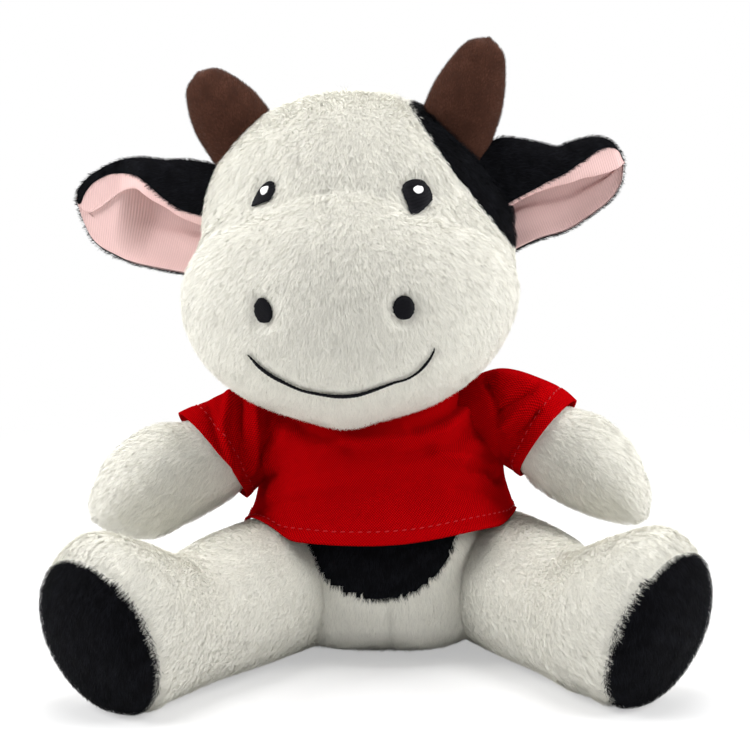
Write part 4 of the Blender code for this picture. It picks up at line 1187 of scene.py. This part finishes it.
def ear_edges(side, rows):
    """Heights of the ear's edges at rows that lie closer together towards its tip."""
    root, along, upwards, forwards = ear_axes(side)
    edges = EAR_PIXELS[side].items()
    paths = {name: on_plane(smooth_rows(pixels, 200), root, forwards) - root for name, pixels in edges}
    near = (paths["top"] @ along).min() - EAR_INSIDE
    far = (paths["top"] @ along).max()
    reach = near + (far - near) * np.sin(np.linspace(0, 0.995 * pi / 2, rows))
    top, flap, roll, bottom = (
        np.interp(reach, np.maximum.accumulate(paths[name] @ along), paths[name] @ upwards)
        for name in ("top", "flap", "roll", "bottom")
    )
    roll = np.clip(roll, bottom, top)
    return reach, np.column_stack([top, np.clip(flap, roll, top), roll, np.minimum(bottom, top)])


def ear_surfaces(side):
    """The ear's lining and its back, each an open sheet that turns round the edges where they are sewn."""
    root, along, upwards, forwards = ear_axes(side)
    reach, edges = ear_edges(side, EAR_ROWS)
    sheets = []
    for which, columns in ((0, LINING_COLUMNS), (1, BACK_COLUMNS)):
        places, flat = np.zeros((EAR_ROWS, columns, 3)), np.zeros((EAR_ROWS, columns, 2))
        for row, out in enumerate(reach):
            fine = smooth_rows(ear_section(side, *edges[row], out / reach[-1])[which], columns)
            section = np.outer(fine[:, 0], upwards) + np.outer(fine[:, 1], forwards)
            places[row] = root + out * along + section
            flat[row] = np.column_stack([np.full(columns, out), run_along(fine)])
        surface = grid(places, flat)
        middle = surface.normals.reshape(EAR_ROWS, columns, 3)[EAR_ROWS // 2]
        outside = middle[columns // 4] if which == 0 else -middle[2 * columns // 3]
        sheets.append(surface.turned(outside @ forwards))
    return sheets


def thick(surface, front, back):
    """A closed body from an open sheet, by how far its two faces lie before and behind it."""
    ahead = surface.points + surface.normals * front
    behind = surface.points - surface.normals * back
    count = len(surface.points)
    edges = [edge for a, b, c in surface.triangles.tolist() for edge in ((a, b), (b, c), (c, a))]
    both_ways = set(edges)
    sides = []
    for a, b in edges:
        if (b, a) not in both_ways:
            sides += [(a, a + count, b + count), (a, b + count, b)]
    triangles = np.concatenate([surface.triangles, surface.triangles[:, ::-1] + count, np.array(sides)])
    uv = None if surface.uv is None else np.concatenate([surface.uv, surface.uv])
    return Surface(np.concatenate([ahead, behind]), triangles, uv)


# Pile


def pile(name, surface, fibres, density, length, width, nap, seed, keep=None, trim=None, lay=(54, 80)):
    """Fibres as tapered ribbons on a surface, leaned the way that nap gives, in small wavy tufts.

    A fibre is shaded by the surface under it, as real pile scatters light, and not by its own facet.
    """
    rng = np.random.default_rng(seed)
    roots, normals = surface.scatter(density, rng)
    if keep is not None:
        chosen = keep(roots)
        roots, normals = roots[chosen], normals[chosen]
    count = len(roots)
    flow = nap(roots, normals)
    for i, (amount, wavelength) in enumerate(TUFT_WANDER):
        flow = flow + amount * ripple(roots, wavelength, seed + i)
    flow += FIBRE_WANDER * rng.normal(size=(count, 3))
    flow = unit(flow - normals * (flow * normals).sum(axis=1, keepdims=True))
    long = length * (1 + waved(roots, LENGTH_WAVE, seed + 2)) * rng.uniform(*LENGTH_SHARES, count)
    if trim is not None:
        long *= trim(roots)
    low = np.radians(lay[0] + LAY_SPREADS[0] * rng.normal(size=count) + waved(roots, LAY_WAVE, seed + 3))
    high = np.radians(np.clip(lay[1] + LAY_SPREADS[1] * rng.normal(size=count), 20, 90))
    rise = normals * np.cos(low)[:, None] + flow * np.sin(low)[:, None]
    droop = normals * np.cos(high)[:, None] + flow * np.sin(high)[:, None]
    roll = rng.normal(scale=ROLL_SPREAD, size=count)
    side = unit(np.cross(flow, normals)) * np.cos(roll)[:, None] + normals * np.sin(roll)[:, None]
    half = side * (width / 2 * rng.uniform(*WIDTH_SHARES, count)[:, None])
    middle = roots + rise * (long * 0.5)[:, None]
    tips = middle + droop * (long * 0.5)[:, None]
    for row in (middle, tips):
        row[:, 2] = np.maximum(row[:, 2], FIBRE_LOWEST)
    narrow = half * MIDDLE_SHARE
    points = np.stack([roots - half, roots + half, middle - narrow, middle + narrow, tips], axis=1)
    amount, wavelength = SHADE_WAVE
    shade = normals + SHADE_SPREAD * rng.normal(size=(count, 3))
    shade = unit(shade + amount * ripple(roots, wavelength, seed + 1))
    tone = rng.random(count) + waved(roots, TONE_WAVE, seed + 4)
    slots = np.clip((tone * len(fibres)).astype(int), 0, len(fibres) - 1)
    corner = np.array([(0, 1, 3), (0, 3, 2), (2, 3, 4)])
    made = []
    pieces = -(-count // MOST_FIBRES)
    for piece in range(pieces):
        chosen = slice(piece, None, pieces)
        fewer = len(points[chosen])
        triangles = (corner[None] + np.arange(fewer)[:, None, None] * 5).reshape(-1, 3)
        strands = Surface(points[chosen].reshape(-1, 3), triangles)
        obj = make_object(name if piece == 0 else f"{name}_{piece + 1}", strands, fibres)
        obj.data.polygons.foreach_set("material_index", np.repeat(slots[chosen], 3).astype(np.int32))
        layer = obj.data.attributes.new("custom_normal", "FLOAT_VECTOR", "POINT")
        layer.data.foreach_set("vector", np.repeat(shade[chosen], 5, axis=0).astype(np.float32).ravel())
        made.append(obj)
    return made


def towards(direction):
    """A nap that lies in one direction."""
    direction = np.array(direction, float)
    return lambda points, normals: np.broadcast_to(direction, points.shape)


def head_nap(points, normals):
    """The head's nap, parted from its middle and down over the face."""
    local = to_head(points)
    flow = np.column_stack([local[:, 0] * NAP_TURN, np.zeros(len(local)), -np.ones(len(local))])
    flow[:, 1] += np.where(past_seam(local) > 0, NAP_BACK * np.sign(local[:, 1]), 0)
    crown = np.clip((local[:, 2] - CROWN_FROM) / CROWN_RISE, 0, 1)
    flow[:, 2] *= 1 - crown * 0.5
    return flow @ HEAD_TURN.T


# Threads


def satin(name, tree, outline, angle, material, rise, lift, ragged):
    """Threads side by side inside an outline of the photograph's pixels, each from edge to edge."""
    rng = np.random.default_rng(len(outline) * 7 + int(outline[0][0]))
    loop = closed_curve(outline, 160)
    along, across = np.array((cos(angle), sin(angle))), np.array((-sin(angle), cos(angle)))
    a, b = loop @ along, loop @ across
    pitch = THREAD_PITCH / PIXEL_SIZE
    threads = max(4, round((b.max() - b.min()) / pitch))
    rows = threads * THREAD_ROWS + 1
    levels = np.linspace(b.min() + 0.02 * pitch, b.max() - 0.02 * pitch, rows)
    reach = (1 - np.cos(np.linspace(0, pi, THREAD_COLUMNS))) / 2
    ends = rng.uniform(-ragged, ragged, size=(threads + 1, 2))
    pixels, heights = np.zeros((rows, THREAD_COLUMNS, 2)), np.zeros((rows, THREAD_COLUMNS))
    for row, level in enumerate(levels):
        before, after = b - level, np.roll(b, -1) - level
        hit = before * after <= 0
        share = before[hit] / np.where(before[hit] == after[hit], 1, before[hit] - after[hit])
        crossing = a[hit] + (np.roll(a, -1)[hit] - a[hit]) * share
        low, high = sorted(np.array((crossing.min(), crossing.max())) + ends[row // THREAD_ROWS])
        pixels[row] = np.outer(low + (high - low) * reach, along) + across * level
        rounding = abs(sin(pi * row / THREAD_ROWS))
        crown = (1 - (2 * reach - 1) ** 4) * (1 - (2 * row / (rows - 1) - 1) ** 6)
        heights[row] = lift + rise * crown * (1 - THREAD_SHARE + THREAD_SHARE * rounding) - PAD_SINK
    places, normals = on_surface(tree, pixels)
    sheet = grid(places + normals * heights[..., None])
    sheet.turned(-(sheet.normals @ VIEW).mean())
    return make_object(name, outward_solid(thick(sheet, 0.0, PAD_BASE)), material)


def stitches(places, normals, lengths, widths, slant):
    """Short raised stitches along a path, each a slim rounded body at a slant to it."""
    rings, sides = 7, 8
    reach = np.linspace(-1, 1, rings)
    round_off = np.sqrt(np.maximum(1 - np.abs(reach) ** 3, 0.02))
    turn = np.arange(sides) * 2 * pi / sides
    bodies = []
    tangents = unit(np.gradient(places, axis=0))
    for place, normal, tangent, length, width in zip(places, normals, tangents, lengths, widths):
        beside = unit(np.cross(normal, tangent))
        axis = unit(tangent * cos(slant) + beside * sin(slant))
        across = unit(np.cross(normal, axis))
        sink = -0.35 * width * reach**2
        centres = place + np.outer(reach * length / 2, axis) + np.outer(sink, normal)
        half = (round_off * width / 2)[:, None, None]
        circle = across * np.cos(turn)[:, None] + normal * 0.8 * np.sin(turn)[:, None]
        body = loft(centres[:, None, :] + half * circle[None], centres[0], centres[-1])
        bodies.append(outward_solid(body))
    return join(bodies)


def along_path(places, normals, step):
    """Places and normals at even steps along a path."""
    run = run_along(places)
    even = np.arange(step / 2, run[-1], step)
    return rows_at(run, places, even), unit(rows_at(run, normals, even))


# Scene setting


def camera_and_lights():
    camera = bpy.data.objects.new("camera", bpy.data.cameras.new("camera"))
    camera.data.lens = CAMERA_LENS
    camera.data.clip_start = 0.01
    camera.location = CAMERA_PLACE
    camera.rotation_euler = Vector(CAMERA_AIM - CAMERA_PLACE).to_track_quat("-Z", "Y").to_euler()
    bpy.context.scene.collection.objects.link(camera)
    bpy.context.scene.camera = camera
    for name, (place, size, power) in LAMPS.items():
        light = bpy.data.lights.new(name, "AREA")
        light.shape = "DISK"
        light.size = size
        light.energy = power
        lamp = bpy.data.objects.new(name, light)
        lamp.location = place
        lamp.rotation_euler = (Vector(LAMP_AIM) - Vector(place)).to_track_quat("-Z", "Y").to_euler()
        bpy.context.scene.collection.objects.link(lamp)
    world = bpy.data.worlds.new("studio")
    world.use_nodes = True
    tree = world.node_tree
    direction = node(tree, "ShaderNodeTexCoord").outputs["Generated"]
    forwards = node(tree, "ShaderNodeSeparateXYZ", {0: direction}).outputs["Y"]
    seen = node(tree, "ShaderNodeLightPath").outputs["Is Camera Ray"]
    strength = worked(tree, "MAXIMUM", seen, ranged(tree, forwards, WORLD_FADE))
    feed(tree, tree.nodes["Background"], {"Color": (1.0, 1.0, 1.0, 1.0), "Strength": strength})
    bpy.context.scene.world = world
    bpy.context.scene.view_settings.view_transform = "Standard"


def floor():
    bm = bmesh.new()
    bmesh.ops.create_grid(bm, x_segments=2, y_segments=2, size=FLOOR_HALF)
    mesh = bpy.data.meshes.new("floor")
    bm.to_mesh(mesh)
    bm.free()
    made, shader = new_material("floor", FLOOR_GREY, {"Roughness": 0.9})
    tree = made.node_tree
    glow = node(tree, "ShaderNodeEmission", {"Color": (1.0, 1.0, 1.0, 1.0)})
    place = node(tree, "ShaderNodeTexCoord").outputs["Object"]
    away = node(tree, "ShaderNodeVectorMath", {0: place}, operation="LENGTH").outputs["Value"]
    fade = ranged(tree, away, FLOOR_FADE, interpolation_type="SMOOTHSTEP")
    share = worked(tree, "MULTIPLY", node(tree, "ShaderNodeLightPath").outputs["Is Camera Ray"], fade)
    mix = node(tree, "ShaderNodeMixShader", {0: share, 1: shader.outputs[0], 2: glow.outputs[0]})
    feed(tree, tree.nodes["Material Output"], {"Surface": mix.outputs[0]})
    mesh.materials.append(made)
    obj = bpy.data.objects.new("floor", mesh)
    bpy.context.scene.collection.objects.link(obj)


def put_in(piece, slot, carry, *nodes):
    """A piece handed to its carry, in place of the CAD nodes it stands for, which are hidden; the slot is not
    used.
    """
    if nodes:
        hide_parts(*nodes)
    carry(piece)


def plush(name, surface, kind, nodes, carry, shown=None, fibres=None, **options):
    """A stuffed panel: its backing in place of the CAD nodes, and its pile on it."""
    backing, fibre_materials = plush_materials[kind]
    skin = make_object(name, surface if shown is None else shown, backing)
    put_in(skin, kind + "_plush", carry, *nodes)
    for hair in pile(name + "_pile", surface, fibre_materials, **(fibres or PLUSHES[kind][-1]), **options):
        put_in(hair, kind + "_plush", carry)


def riding(body):
    return lambda piece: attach(piece, body)


def bending(side):
    """For a piece on an arm: its transform is applied to its mesh, and nothing rides on the arm or bends it.
    """
    along, pivot = arm_direction(side), shoulder(side)
    return lambda piece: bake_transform(piece)


def backing_of(outline):
    """The backing under an outline, clear of the floor."""
    skin = outline.moved(-BACKING_DEPTH)
    skin.points[:, 2] = np.maximum(skin.points[:, 2], BACKING_LOWEST)
    return skin


def off_the_face(points):
    """Where the head's pile grows: not under an embroidered pad."""
    pads, _ = face_distance(points)
    return (pads > BARE_PIXELS) | (to_head(points)[:, 1] > 0)


def short_by_the_face(points):
    """Shares of the pile's length, which is pressed down beside the embroidery."""
    pads, mouth = face_distance(points)
    return 1 - (bell(pads, *PAD_TRIM) + bell(mouth, *MOUTH_TRIM)) * (to_head(points)[:, 1] < 0)


def head_panel(points):
    """The panel that points of the head lie on: 0 for the muzzle, 1 for the cranium and 2 for the brow."""
    local = to_head(points)
    return (past_seam(local) >= 0) * (1 + (past_patch(local) >= 0))


def make_head():
    outline = head_surface()
    skin = backing_of(outline)
    panels = (
        ("muzzle", "white", ["muzzle_skin"]),
        ("cranium", "white", ["head_skin", "head_fill"]),
        ("brow_patch", "black", ["head_patch"]),
    )
    for i, (name, kind, nodes) in enumerate(panels):
        plush(name, skin.part(lambda p, i=i: head_panel(p) == i), kind, nodes, riding("head"),
              nap=head_nap, seed=10 + i, keep=off_the_face, trim=short_by_the_face)
    return outline


def make_face(outline):
    tree = outline.tree()
    for side in SIDES:
        angle = THREAD_ANGLES[side]
        pads = (
            ("eye_" + side, EYE_PIXELS[side], angle, dark_thread, PAD_RISE, 0.0, 0.5),
            ("eye_glint_" + side, GLINT_PIXELS[side], angle + pi / 2, white_thread, GLINT_RISE, PAD_RISE,
             0.2),
            ("nostril_" + side, NOSTRIL_PIXELS[side], angle, dark_thread, PAD_RISE, 0.0, 0.5),
        )
        for node_name, *stitching in pads:
            pad = satin(node_name + "_threads", tree, *stitching)
            slot = "white_thread" if stitching[2] == white_thread else "dark_thread"
            put_in(pad, slot, riding("head"), node_name)
    places, normals = along_path(*on_surface(tree, smooth_rows(MOUTH_PIXELS, 200)), MOUTH_STEP)
    share = np.linspace(0, 1, len(places))
    widths = MOUTH_THREAD * np.interp(share, np.linspace(0, 1, len(MOUTH_SHARES)), MOUTH_SHARES)
    lengths = np.random.default_rng(8).uniform(*MOUTH_LENGTHS, len(places))
    thread = stitches(places + normals * MOUTH_RISE, normals, lengths, widths, MOUTH_SLANT)
    put_in(make_object("mouth_thread", thread, dark_thread), "dark_thread", riding("head"), "mouth_stitch")


def make_body():
    outline = body_surface()
    outline = outline.moved(sum(swelling(outline.points, *bulge) for bulge in BODY_BULGES))
    outline = outline.moved(fold_heights(outline.points, outline.normals, BODY_SEAM))
    x, y, z = outline.points.T
    middle = x + NECK_SHIFT * np.clip(z / BODY_HEIGHT, 0, 1) ** 2
    outline = outline.moved(-bell(middle, *BACK_GROOVE) * (y > 0))
    skin = backing_of(outline)
    centre = lean((0, 0, BELLY_HEIGHT))

    def on_belly(p):
        return (np.hypot(p[:, 0] - centre[0], p[:, 2] - centre[2]) < BELLY_RADIUS) & (p[:, 1] < 0)

    def out_of_shirt(p):
        return (p[:, 2] < BODY_PILE_TOP) | (p[:, 2] > COLLAR_HEIGHT)

    nap = towards((0, -0.2, -1))
    plush("body", skin.part(lambda p: ~on_belly(p)), "white", ["body_skin", "body_fill"], riding("body"),
          nap=nap, seed=30, keep=out_of_shirt)
    plush("belly_patch_plush", skin.part(on_belly), "black", ["belly_patch"], riding("body"),
          nap=nap, seed=31)
    return outline


def make_arms():
    most, least = HAND_PILE_SHARES
    for i, side in enumerate(SIDES):
        body = "arm_" + side
        plush(body + "_plush", backing_of(arm_surface(side)), "white", [body + "_skin", body + "_fill"],
              bending(side), nap=towards(arm_direction(side) + (0, 0, -0.5)), seed=40 + i,
              keep=lambda p, side=side: past_hem(side, p) > HAND_PILE_FROM,
              trim=lambda p, side=side: np.clip(most + past_hem(side, p) / HAND_PILE_GROWTH, least, 1))


def make_legs():
    outlines = []
    for i, side in enumerate(SIDES):
        outline = leg_surface(side)
        skin = backing_of(outline)
        body, along = "leg_" + side, leg_facing(side, 0.5)
        plush(body + "_plush", skin.part(lambda p, side=side: past_sole(side, p) <= 0), "white",
              [body + "_skin", body + "_fill"], riding(body), nap=towards(along + (0, 0, -0.3)),
              seed=50 + i, lay=(60, 84))
        plush("sole_" + side + "_plush", skin.part(lambda p, side=side: past_sole(side, p) > 0), "black",
              ["sole_" + side], riding(body), nap=towards((0, 0, -1)), seed=60 + i)
        outlines.append(outline)
    return outlines


def make_horns():
    for i, side in enumerate(SIDES):
        name = "horn_" + side
        plush(name + "_plush", horn_surface(side).moved(-HORN_SINK), "brown", [name, name + "_fill"],
              riding("head"), nap=towards((SIDES[side] * 0.3, 0, 1)), seed=70 + i, lay=(45, 60))


def make_ears():
    for i, side in enumerate(SIDES):
        body = "ear_" + side
        lining, back = ear_surfaces(side)
        share = np.tile(np.linspace(0, 1, BACK_COLUMNS), EAR_ROWS)
        skin = back.moved(-EAR_SINK * np.clip(6 * np.minimum(share, 1 - share), 0, 1))
        plush(body + "_back_plush", skin, "black", [body + "_back"], riding(body),
              shown=outward_solid(thick(skin, 0.0, EAR_CLOTH)), fibres=EAR_PILE,
              nap=towards((SIDES[side], 0.2, -0.2)), seed=80 + i, lay=(56, 82))
        sheet = make_object(body + "_lining_knit", outward_solid(thick(lining, 0.0, EAR_CLOTH)), pink_knit)
        put_in(sheet, "pink_knit", riding(body), body + "_lining")


def pushed_out(points, tree, clearance):
    """Points moved out of a closed surface, to lie at least a clearance outside it."""
    points = points.copy()
    for i, point in enumerate(points):
        near, normal, _, _ = tree.find_nearest(Vector(point), 0.02)
        if near is None:
            continue
        depth = (Vector(point) - near).dot(normal)
        if depth < clearance:
            points[i] = point + np.array(normal) * (clearance - depth)
    return points


def lifted_over(points, trees, clearance):
    """Points that lie just under the top of a closed surface, raised on to it."""
    points = points.copy()
    for tree in trees:
        for i, point in enumerate(points):
            hit, _, _, _ = tree.ray_cast(Vector((point[0], point[1], 0.2)), Vector((0, 0, -1)))
            if hit is not None and hit.z - THIGH_REACH < point[2] < hit.z + clearance:
                points[i, 2] = hit.z + clearance
    return points


def smoothed(places, rounds):
    """A grid of points that closes on itself, relaxed a little, with its last row kept."""
    for _ in range(rounds):
        before = np.concatenate([places[:, -2:-1], places[:, :-1]], axis=1)
        after = np.concatenate([places[:, 1:], places[:, 1:2]], axis=1)
        inner = (places[:-2] + places[2:] + before[1:-1] + after[1:-1]) / 4
        places = places.copy()
        places[1:-1] = 0.5 * places[1:-1] + 0.5 * inner
        places[0] = 0.5 * places[0] + 0.25 * (before[0] + after[0])
    return places


def hem_stitches(name, places, normals, carry):
    """A row of stitches along a hem."""
    points, outwards = along_path(places, normals, STITCH_LENGTH + STITCH_GAP)
    lengths, widths = np.full(len(points), STITCH_LENGTH), np.full(len(points), STITCH_WIDTH)
    body = stitches(points + outwards * (JERSEY / 2 + 0.0001), outwards, lengths, widths, STITCH_SLANT)
    piece = make_object(name, body, red_thread)
    put_in(piece, "red_jersey", carry)
    return piece


def flat_size(places):
    """Width and length of a sheet's cut, along its widest row and longest column, and its area."""
    width = float(np.linalg.norm(np.diff(places, axis=1), axis=2).sum(axis=1).max())
    length = float(np.linalg.norm(np.diff(places, axis=0), axis=2).sum(axis=0).max())
    return (width, length), float(min(grid(places).areas.sum(), width * length))


def sewn_sheet(node_name, surface, places, normals, seam_row, carry):
    """A sheet of jersey in place of its CAD node, with the stitches of its hem."""
    thread = hem_stitches(node_name + "_hem_thread", places[seam_row], normals[seam_row], carry)
    flat, area = flat_size(places)
    cloth = outward_solid(thick(surface, JERSEY / 2, JERSEY / 2))
    piece = make_object(node_name + "_cloth", cloth, red_knit)
    put_in(piece, "red_jersey", carry, node_name)


def hem_lift(down):
    """How far the cloth of a hem stands out, by the distance from its edge."""
    return HEM_THICKNESS * (down < HEM_FOLD) - bell(down - HEM_FOLD, *HEM_GROOVE)


def armhole_lift(surface, side, step, height, width):
    """The height of the puckers beside an armhole's seam, a step in pixels towards the hand."""
    path = [(across + SIDES[side] * step, down) for across, down in ARMHOLES[side]]
    return fold_heights(surface.points, surface.normals, ((*path, height, width),))


def shirt_sheet(angle):
    """The shirt round the body before its folds, as a grid of places and of flat coordinates."""
    rows, columns = SHIRT_GRID
    shares = smooth_rows(SHIRT_SHARES, 400).T
    places, flat = np.zeros((rows, columns, 3)), np.zeros((rows, columns, 2))
    for row, share in enumerate(np.linspace(0, 1, rows)):
        height = HEM_HEIGHT + (COLLAR_HEIGHT - HEM_HEIGHT) * share
        half_width, half_depth = body_half(height)
        half_width += SHIRT_EASE * np.interp(share, shares[0], shares[1])
        half_depth += SHIRT_EASE * np.interp(share, shares[0], shares[2])
        level = height - HEM_DIP * np.abs(np.sin(angle)) ** 4 * (1 - share) ** 3
        cornered = np.sin(2 * angle) ** 2 * (np.cos(angle) > 0) * (1 - share) ** 3
        level = level + np.where(angle > 0, HEM_RISE["left"], HEM_RISE["right"]) * cornered
        corner = 1 + HEM_CORNER * cornered
        room = np.interp(share, *np.transpose(SHIRT_ROOM)) * np.clip(np.sin(angle), 0, 1) ** 2
        across, away = corner * half_width * np.sin(angle) + room, -corner * half_depth * np.cos(angle)
        places[row] = np.column_stack([across, away, level])
        flat[row] = np.column_stack([angle * SHIRT_RADIUS, level - HEM_HEIGHT])
    return lean(places), flat


def make_collar(rim, angle):
    """A rolled rim round the neck."""
    wide, tall = COLLAR_HALF
    out = (rim - rim.mean(axis=0)) / COLLAR_RADIUS
    turns = np.linspace(0, 2 * pi, COLLAR_SIDES + 1)
    rings = [rim + out * wide * cos(turn) + np.array((0, 0, tall * sin(turn))) for turn in turns]
    collar = outward_solid(loft(np.array(rings)))
    girth, step = COLLAR_LAID
    collar.uv = np.column_stack([
        np.tile(angle * girth, len(turns)),
        np.repeat(np.arange(len(turns)) * step, len(rim)),
    ])
    put_in(make_object("shirt_collar", collar, red_knit), "red_jersey", riding("body"))


def make_shirt(thighs, body):
    rows, columns = SHIRT_GRID
    angle = np.linspace(-pi, pi, columns)
    places, flat = shirt_sheet(angle)
    points = lifted_over(places.reshape(-1, 3), thighs, THIGH_CLEARANCES[0])
    points = pushed_out(points, body, BODY_CLEARANCES[0])
    surface = outward(grid(smoothed(points.reshape(places.shape), 10), flat))
    around, down = flat.reshape(-1, 2).T
    lift = SHIRT_GAIN * fold_heights(surface.points, surface.normals, SHIRT_FOLDS)
    for side in ARMHOLES:
        lift += armhole_lift(surface, side, -ARMHOLE_STEP, *ARMHOLE_RIDGE)
    height, wavelength = SHIRT_WAVE
    height = height + SHIRT_WAVE_BEHIND * np.clip(surface.normals @ VIEW, 0, 1)
    lift += height * ripple(surface.points, wavelength, 5, 1)[:, 0] * np.clip(down / 0.008, 0.2, 1)
    lift += hem_lift(down) - bell(np.abs(np.abs(around) - SHIRT_RADIUS * pi / 2), *SIDE_GROOVE)
    surface = surface.moved(lift)
    points = pushed_out(surface.points, body, BODY_CLEARANCES[1])
    points = lifted_over(points, thighs, THIGH_CLEARANCES[1])
    surface.points = smoothed(points.reshape(places.shape), 1).reshape(-1, 3)
    surface.refresh()
    places, normals = surface.points.reshape(places.shape), surface.normals.reshape(places.shape)
    seam_row = int(round(HEM_FOLD / (COLLAR_HEIGHT - HEM_HEIGHT) * (rows - 1)))
    quarter = columns // 4
    spans = {
        "shirt_front": np.arange(quarter, 3 * quarter + 1),
        "shirt_back": np.concatenate([np.arange(3 * quarter, columns), np.arange(1, quarter + 1)]),
    }
    for name, span in spans.items():
        laid = flat[:, span]
        if name == "shirt_back":
            laid = laid + np.outer(2 * pi * SHIRT_RADIUS * (span <= quarter), (1, 0))
        own = grid(places[:, span], laid)
        own.turned((own.normals * normals[:, span].reshape(-1, 3)).sum())
        sewn_sheet(name, own, places[:, span], normals[:, span], seam_row, riding("body"))
    make_collar(places[-1, :-1], angle[:-1])


def make_sleeves():
    rows, columns = SLEEVE_GRID
    for side in SIDES:
        along, pivot = arm_direction(side), shoulder(side)
        across, _ = limb_axes(along)
        turn = np.linspace(0, 2 * pi, columns) - pi / 2
        behind = np.clip(np.cos(turn) * np.sign(across[1]), 0, 1)
        places, flat = np.zeros((rows, columns, 3)), np.zeros((rows, columns, 2))
        tops, bottoms = sleeve_edges(side, rows)
        length = np.linalg.norm(tops[-1] + bottoms[-1] - tops[0] - bottoms[0]) / 2
        for row, (top, bottom) in enumerate(zip(tops, bottoms)):
            left = 1 - row / (rows - 1)
            centre, half = (top + bottom) / 2, (top - bottom) / 2
            width = arm_width((centre - pivot) @ along) + SLEEVE_EASE + ARMHOLE_EASE * left**2
            places[row] = centre + np.outer(np.cos(turn), across) * width + np.outer(np.sin(turn), half)
            places[row] -= np.outer(behind, along) * SLEEVE_TUCK * left**2
            flat[row] = np.column_stack([turn * SLEEVE_RADIUS, np.full(columns, left * length)])
        surface = outward(grid(places, flat))
        lift = SLEEVE_GAIN * fold_heights(surface.points, surface.normals, SLEEVE_FOLDS[side])
        lift += armhole_lift(surface, side, ARMHOLE_STEP, *ARMHOLE_GROOVE)
        lift += waved(surface.points, SLEEVE_WAVE, 6)
        lift += hem_lift(flat.reshape(-1, 2)[:, 1])
        surface = surface.moved(lift)
        surface.points = pushed_out(surface.points, backing_of(arm_surface(side)).tree(), ARM_CLEARANCE)
        surface.refresh()
        seam_row = int(round((1 - HEM_FOLD / length) * (rows - 1)))
        sewn_sheet("sleeve_" + side, surface, surface.points.reshape(places.shape),
                   surface.normals.reshape(places.shape), seam_row, bending(side))


def make_tail():
    root = np.array((0, BODY_DEPTH / 2, TAIL_HEIGHT))
    fall = TUFT_RADIUS - root[2]
    count, sides = RINGS["tail"]
    places = [(TAIL_ASIDE * a, TAIL_BACK * b, fall * (b**2 * (3 - 2 * b))) for b, a in TAIL_SHARES]
    spine = smooth_rows(root + np.array(places), count)
    steps = unit(np.gradient(spine, axis=0))
    across = unit(np.cross(steps, (0, 0, 1)))
    upwards = np.cross(across, steps)
    radius = TAIL_RADIUS - TAIL_SINK
    tube = outward(loft(ring_points(spine, across * radius, upwards * radius, sides), spine[0], spine[-1]))
    plush("tail_plush", tube, "white", ["tail"], riding("tail"), fibres=TAIL_PILE, nap=towards(steps[-1]),
          seed=90)
    along = unit(np.array((steps[-1][0], steps[-1][1], 0)))
    level = unit(np.cross(along, (0, 0, 1)))
    count, sides = RINGS["tuft"]
    rows = [(i / 4, TUFT_RADIUS * s) for i, s in enumerate(TUFT_SHARES)]
    fine = closing_rows(rows, (1.0, 0.0), TUFT_LENGTH, count)
    centres = spine[-1] + along * fine[:, :1]
    rings = ring_points(centres, np.outer(fine[:, 1], level), np.outer(fine[:, 1], (0, 0, 1)), sides)
    tuft = outward(loft(rings, centres[0], centres[-1])).moved(-TUFT_SINK)
    plush("tail_tuft_plush", tuft, "black", ["tail_tuft"], riding("tail"), fibres=TUFT_PILE,
          nap=towards(along), seed=91, lay=(50, 70))


camera_and_lights()
floor()
head_outline = make_head()
make_face(head_outline)
body_outline = make_body()
make_arms()
leg_outlines = make_legs()
make_horns()
make_ears()
make_tail()
make_shirt([outline.tree() for outline in leg_outlines], body_outline.tree())
make_sleeves()
